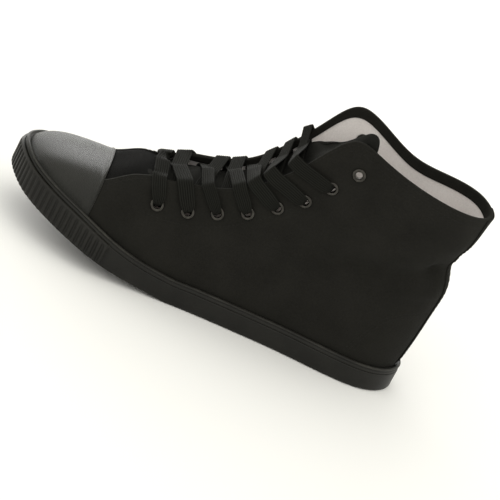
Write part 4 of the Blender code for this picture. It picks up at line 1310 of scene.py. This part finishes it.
def ridges(tree, way):
    """Rounded ridges from 0 to 1, one for each unit of way."""
    return math_node(tree, "ABSOLUTE", math_node(tree, "SINE", math_node(tree, "MULTIPLY", way, math.pi)))


def noise(tree, scale, detail=3.0):
    """Noise over the object's own coordinates, from 0 to 1."""
    made = tree.nodes.new("ShaderNodeTexNoise")
    made.inputs["Scale"].default_value = scale
    made.inputs["Detail"].default_value = detail
    coordinates = tree.nodes.new("ShaderNodeTexCoord").outputs["Object"]
    tree.links.new(coordinates, made.inputs["Vector"])
    return made.outputs["Fac"]


def weave_axes(tree, pitch_u, pitch_v):
    """The piece's weave coordinates, counted in threads."""
    uv = tree.nodes.new("ShaderNodeUVMap")
    uv.uv_map = "weave"
    split = tree.nodes.new("ShaderNodeSeparateXYZ")
    tree.links.new(uv.outputs["UV"], split.inputs[0])
    u = math_node(tree, "DIVIDE", split.outputs["X"], pitch_u)
    v = math_node(tree, "DIVIDE", split.outputs["Y"], pitch_v)
    return u, v


def plain_weave(tree, pitch):
    """Height of a plain weave: threads one way and the other, over and under by turns."""
    u, v = weave_axes(tree, pitch, pitch)
    cells = math_node(tree, "ADD", math_node(tree, "FLOOR", u), math_node(tree, "FLOOR", v))
    turn = math_node(tree, "PINGPONG", cells, 1.0)
    warp = math_node(tree, "MULTIPLY", ridges(tree, u), turn)
    weft = math_node(tree, "MULTIPLY", ridges(tree, v), math_node(tree, "SUBTRACT", 1.0, turn))
    return math_node(tree, "ADD", warp, weft)


def bump(tree, shader, height, strength, distance):
    """Fine relief of a finish from a height between 0 and 1."""
    made = tree.nodes.new("ShaderNodeBump")
    made.inputs["Strength"].default_value = strength
    made.inputs["Distance"].default_value = distance
    tree.links.new(height, made.inputs["Height"])
    tree.links.new(made.outputs["Normal"], shader.inputs["Normal"])


def colours(tree, shader, factor, stops):
    """Base colour from a ramp of (place, colour) stops over a factor."""
    ramp = tree.nodes.new("ShaderNodeValToRGB")
    points = ramp.color_ramp.elements
    while len(points) < len(stops):
        points.new(0.5)
    for point, (at, colour) in zip(points, stops):
        point.position = at
        point.color = (*colour, 1.0)
    tree.links.new(factor, ramp.inputs["Fac"])
    tree.links.new(ramp.outputs["Color"], shader.inputs["Base Color"])


def ranged(tree, factor, low, high):
    """A factor from 0 to 1 brought to a range."""
    made = tree.nodes.new("ShaderNodeMapRange")
    made.inputs["To Min"].default_value = low
    made.inputs["To Max"].default_value = high
    tree.links.new(factor, made.inputs["Value"])
    return made.outputs[0]


def mixed(tree, first, second, share):
    """first and second blended by a fixed share of second."""
    a = math_node(tree, "MULTIPLY", first, 1.0 - share)
    return math_node(tree, "ADD", a, math_node(tree, "MULTIPLY", second, share))


def canvas_finish(name, dark, light, pitch, sheen, gloss):
    """Matt plain-woven cloth with slubs and faint patches."""
    made, tree, shader = shader_of(name, light, 0.92, Sheen_Weight=sheen, Sheen_Roughness=0.5)
    shader.inputs["Specular IOR Level"].default_value = gloss
    weave = plain_weave(tree, pitch)
    fibres = noise(tree, 2600.0, 2.0)
    slubs = noise(tree, 850.0, 3.0)
    patches = noise(tree, 38.0, 4.0)
    threads = mixed(tree, mixed(tree, weave, fibres, 0.35), slubs, 0.45)
    colours(tree, shader, mixed(tree, threads, patches, 0.35), ((0.30, dark), (0.68, light)))
    bump(tree, shader, mixed(tree, weave, fibres, 0.3), 0.55, 0.00025)
    return made


def rubber_finish(name, dark, light, roughness, gloss, ridge_highlight, hatch):
    """Satin rubber, with a painted highlight that lightens its ridges. hatch is the pitch of a diagonal
    cross-hatch.
    """
    made, tree, shader = shader_of(name, light, roughness)
    shader.inputs["Specular IOR Level"].default_value = gloss
    patches = noise(tree, 55.0, 5.0)
    dust = noise(tree, 900.0, 3.0)
    # Painted highlight: the sharper the ridge, the lighter its colour, standing for the light that ridges
    # catch
    ridge = tree.nodes.new("ShaderNodeNewGeometry").outputs["Pointiness"]
    wear_and_highlight = math_node(tree, "MULTIPLY", math_node(tree, "SUBTRACT", ridge, 0.52), 4.0 * ridge_highlight)
    wear_and_highlight = math_node(tree, "MAXIMUM", wear_and_highlight, 0.0)
    tone_with_painted_light = math_node(tree, "ADD", mixed(tree, patches, dust, 0.35), wear_and_highlight)
    # The top stop, 3.2 times the light tone, is the colour of the painted highlight on the ridges
    colours(tree, shader, tone_with_painted_light, ((0.3, dark), (0.72, light), (1.0, tuple(3.2 * c for c in light))))
    tree.links.new(ranged(tree, patches, roughness - 0.07, roughness + 0.10), shader.inputs["Roughness"])
    height = noise(tree, 1500.0, 2.0)
    if hatch:
        u, v = weave_axes(tree, hatch, hatch)
        diagonals = (math_node(tree, "ADD", u, v), math_node(tree, "SUBTRACT", u, v))
        cross = math_node(tree, "MINIMUM", *(ridges(tree, way) for way in diagonals))
        bump(tree, shader, mixed(tree, cross, height, 0.04), 0.7, 0.0005)
    else:
        bump(tree, shader, height, 0.25, 0.0001)
    return made


def metal_finish(name, colour, roughness):
    """Dull metal with slight wear."""
    made, tree, shader = shader_of(name, colour, roughness, 1.0)
    wear_and_highlight = noise(tree, 420.0, 4.0)
    colours(tree, shader, wear_and_highlight, ((0.35, tuple(c * 0.55 for c in colour)), (0.7, colour)))
    tree.links.new(ranged(tree, wear_and_highlight, roughness - 0.08, roughness + 0.14), shader.inputs["Roughness"])
    bump(tree, shader, wear_and_highlight, 0.12, 0.0001)
    return made


def lace_finish(name, dark, light):
    """Braided flat cord: slanted stitches that turn over at each rib, with painted shade in the grooves
    between ribs.
    """
    made, tree, shader = shader_of(name, light, 0.8, Sheen_Weight=0.01, Sheen_Roughness=0.4)
    shader.inputs["Specular IOR Level"].default_value = 0.07
    u, v = weave_axes(tree, LACE_WIDTH / LACE_RIBS, 0.0009)
    slope = math_node(tree, "PINGPONG", u, 1.0)
    plait = ridges(tree, math_node(tree, "ADD", math_node(tree, "MULTIPLY", slope, 0.9), v))
    height = mixed(tree, plait, noise(tree, 3000.0, 2.0), 0.3)
    # The ridges across u make each rib's middle lighter and the grooves between ribs darker: painted
    # highlight and painted shade
    tone_with_painted_light = mixed(tree, mixed(tree, height, noise(tree, 60.0), 0.3), ridges(tree, u), 0.5)
    colours(tree, shader, tone_with_painted_light, ((0.2, dark), (0.8, light)))
    bump(tree, shader, height, 0.6, 0.0002)
    return made


# The photograph's view, in degrees and metres, with the lens in millimetres
CAMERA_AZIMUTH = -6.12
CAMERA_ELEVATION = 21.54
CAMERA_ROLL = 27.94
CAMERA_DISTANCE = 2.0
CAMERA_LENS = 216.45
CAMERA_ASIDE = 0.0199
CAMERA_ABOVE = 0.0411
CAMERA_SENSOR = 36.0
CAMERA_SEES_TO = 50.0

# The studio: a warm white surround, a pale floor and two soft lights, each with its place, the place
# that it faces, its size in metres and its power in watts
WORLD_COLOUR = (1.0, 0.985, 0.91, 1.0)
WORLD_STRENGTH = 1.12
FLOOR_COLOUR = (0.93, 0.93, 0.93)
FLOOR_HALF_WIDTH = 6.0
LIGHTS = {
    "back light": ((-0.45, 1.6, 0.42), (-0.08, 0, 0.05), (1.6, 0.45), 11.0),
    "front light": ((-0.6, -1.7, 1.3), (0, 0, 0.05), (1.4, 1.4), 4.0),
}


def stand(made, axes, spot):
    """Places an object by its three axes and its spot, and links it to the scene."""
    rows = [[*(axis[k] for axis in axes), spot[k]] for k in range(3)]
    made.matrix_world = Matrix([*rows, [0, 0, 0, 1]])
    bpy.context.scene.collection.objects.link(made)


def camera():
    """The photograph's view of the shoe: its angle and roll, and a long lens."""
    turn, lift, roll = (math.radians(a) for a in (CAMERA_AZIMUTH, CAMERA_ELEVATION, CAMERA_ROLL))
    back = np.array(
        [math.sin(turn) * math.cos(lift), -math.cos(turn) * math.cos(lift), math.sin(lift)]
    )
    right = np.array([math.cos(turn), math.sin(turn), 0.0])
    above = np.cross(back, right)
    across = right * math.cos(roll) + above * math.sin(roll)
    upward = above * math.cos(roll) - right * math.sin(roll)
    spot = right * CAMERA_ASIDE + above * CAMERA_ABOVE + back * CAMERA_DISTANCE
    made = bpy.data.objects.new("camera", bpy.data.cameras.new("camera"))
    made.data.lens = CAMERA_LENS
    made.data.sensor_width = CAMERA_SENSOR
    made.data.clip_end = CAMERA_SEES_TO
    stand(made, (across, upward, back), spot)
    bpy.context.scene.camera = made


def area_light(name, spot, target, size, power):
    """A rectangular light at spot that faces target."""
    made = bpy.data.objects.new(name, bpy.data.lights.new(name, "AREA"))
    made.data.shape = "RECTANGLE"
    made.data.size, made.data.size_y = size
    made.data.energy = power
    back = unit(np.array(spot, float) - np.array(target, float))
    right = unit(np.cross((0, 0, 1), back))
    stand(made, (right, np.cross(back, right), back), spot)


def studio():
    """A pale floor, a white surround and two soft lights."""
    world = bpy.data.worlds.new("studio")
    world.use_nodes = True
    world.node_tree.nodes["Background"].inputs["Color"].default_value = WORLD_COLOUR
    world.node_tree.nodes["Background"].inputs["Strength"].default_value = WORLD_STRENGTH
    bpy.context.scene.world = world
    bpy.context.scene.view_settings.view_transform = "Standard"
    mesh = bpy.data.meshes.new("floor")
    r = FLOOR_HALF_WIDTH
    mesh.from_pydata([(-r, -r, 0), (r, -r, 0), (r, r, 0), (-r, r, 0)], [], [(0, 1, 2, 3)])
    floor = bpy.data.objects.new("floor", mesh)
    made, _, shader = shader_of("pale floor", FLOOR_COLOUR, 0.85)
    shader.inputs["Specular IOR Level"].default_value = 0.1
    mesh.materials.append(made)
    bpy.context.scene.collection.objects.link(floor)
    for name, row in LIGHTS.items():
        area_light(name, *row)


# Cloths: dark and light thread, pitch of the threads in metres, sheen and gloss
CLOTHS = {
    "black canvas": ((0.0058, 0.0057, 0.0048), (0.0158, 0.0152, 0.0129), 0.00052, 0.01, 0.10),
    # The vamp's cloth is the black canvas painted darker: painted shade against the light that falls on the
    # vamp's top
    "vamp canvas painted shade": ((0.0034, 0.0034, 0.0033), (0.0100, 0.0101, 0.0098), 0.00046, 0.0, 0.04),
    # The tongue's cloth is the black canvas painted a little lighter: painted light where the tongue lies
    # in shade
    "tongue canvas": ((0.0062, 0.0062, 0.0056), (0.0172, 0.0172, 0.0155), 0.00050, 0.0, 0.08),
    "pale lining": ((0.60, 0.56, 0.55), (0.80, 0.76, 0.75), 0.00060, 0.05, 0.10),
    "black thread": ((0.010, 0.0098, 0.0085), (0.024, 0.0232, 0.0200), 0.0004, 0.05, 0.10),
    # The light cord colour along the quarters' edges is a painted highlight of the folded edge
    "painted edge highlight": ((0.030, 0.030, 0.028), (0.075, 0.075, 0.070), 0.0004, 0.05, 0.10),
}

# Rubbers: dark and light tone, roughness, gloss, how strongly a painted highlight lightens the ridges,
# and the pitch of the hatch in metres, 0 for none
RUBBERS = {
    "black rubber": ((0.0055, 0.0053, 0.0044), (0.0135, 0.0130, 0.0110), 0.45, 0.20, 1.6, 0),
    "strip rubber": ((0.0055, 0.0053, 0.0044), (0.0135, 0.0130, 0.0110), 0.45, 0.20, 2.4, 0),
    "cap rubber": ((0.0090, 0.0090, 0.0075), (0.0180, 0.0182, 0.0155), 0.36, 0.28, 0.0, 0.0013),
    "tread rubber": ((0.010, 0.010, 0.0088), (0.026, 0.026, 0.0225), 0.55, 0.3, 1.0, 0),
}
GUNMETAL = (0.062, 0.059, 0.053)
LACE_DARK = (0.0030, 0.0030, 0.0025)
LACE_LIGHT = (0.0122, 0.0124, 0.0105)


def main():
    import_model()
    camera()
    studio()
    cloth = {name: canvas_finish(name, *row) for name, row in CLOTHS.items()}
    rubber = {name: rubber_finish(name, *row) for name, row in RUBBERS.items()}

    shell = build_canvas(cloth["black canvas"])
    inner = build_lining(cloth["pale lining"])
    cut_holes((shell, inner), cloth["black canvas"])
    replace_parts(shell, "upper")
    build_vamp(cloth["vamp canvas painted shade"])
    build_back_stay(cloth["black canvas"])
    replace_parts(build_toe_cap(rubber["cap rubber"]), "toe_cap")
    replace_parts(build_foxing(rubber["strip rubber"]), "foxing")
    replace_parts(build_bumper(rubber["black rubber"]), "toe_bumper")
    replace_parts(build_outsole(rubber["tread rubber"]), "outsole")
    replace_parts(build_insole(cloth["pale lining"]), "insole")
    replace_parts(build_tongue(cloth["tongue canvas"]), "tongue")
    build_eyelets(metal_finish("gunmetal", GUNMETAL, 0.20))
    build_lace(lace_finish("dark grey lace", LACE_DARK, LACE_LIGHT))
    build_stitching(cloth["black thread"])
    build_edge_highlight(cloth["painted edge highlight"])


main()
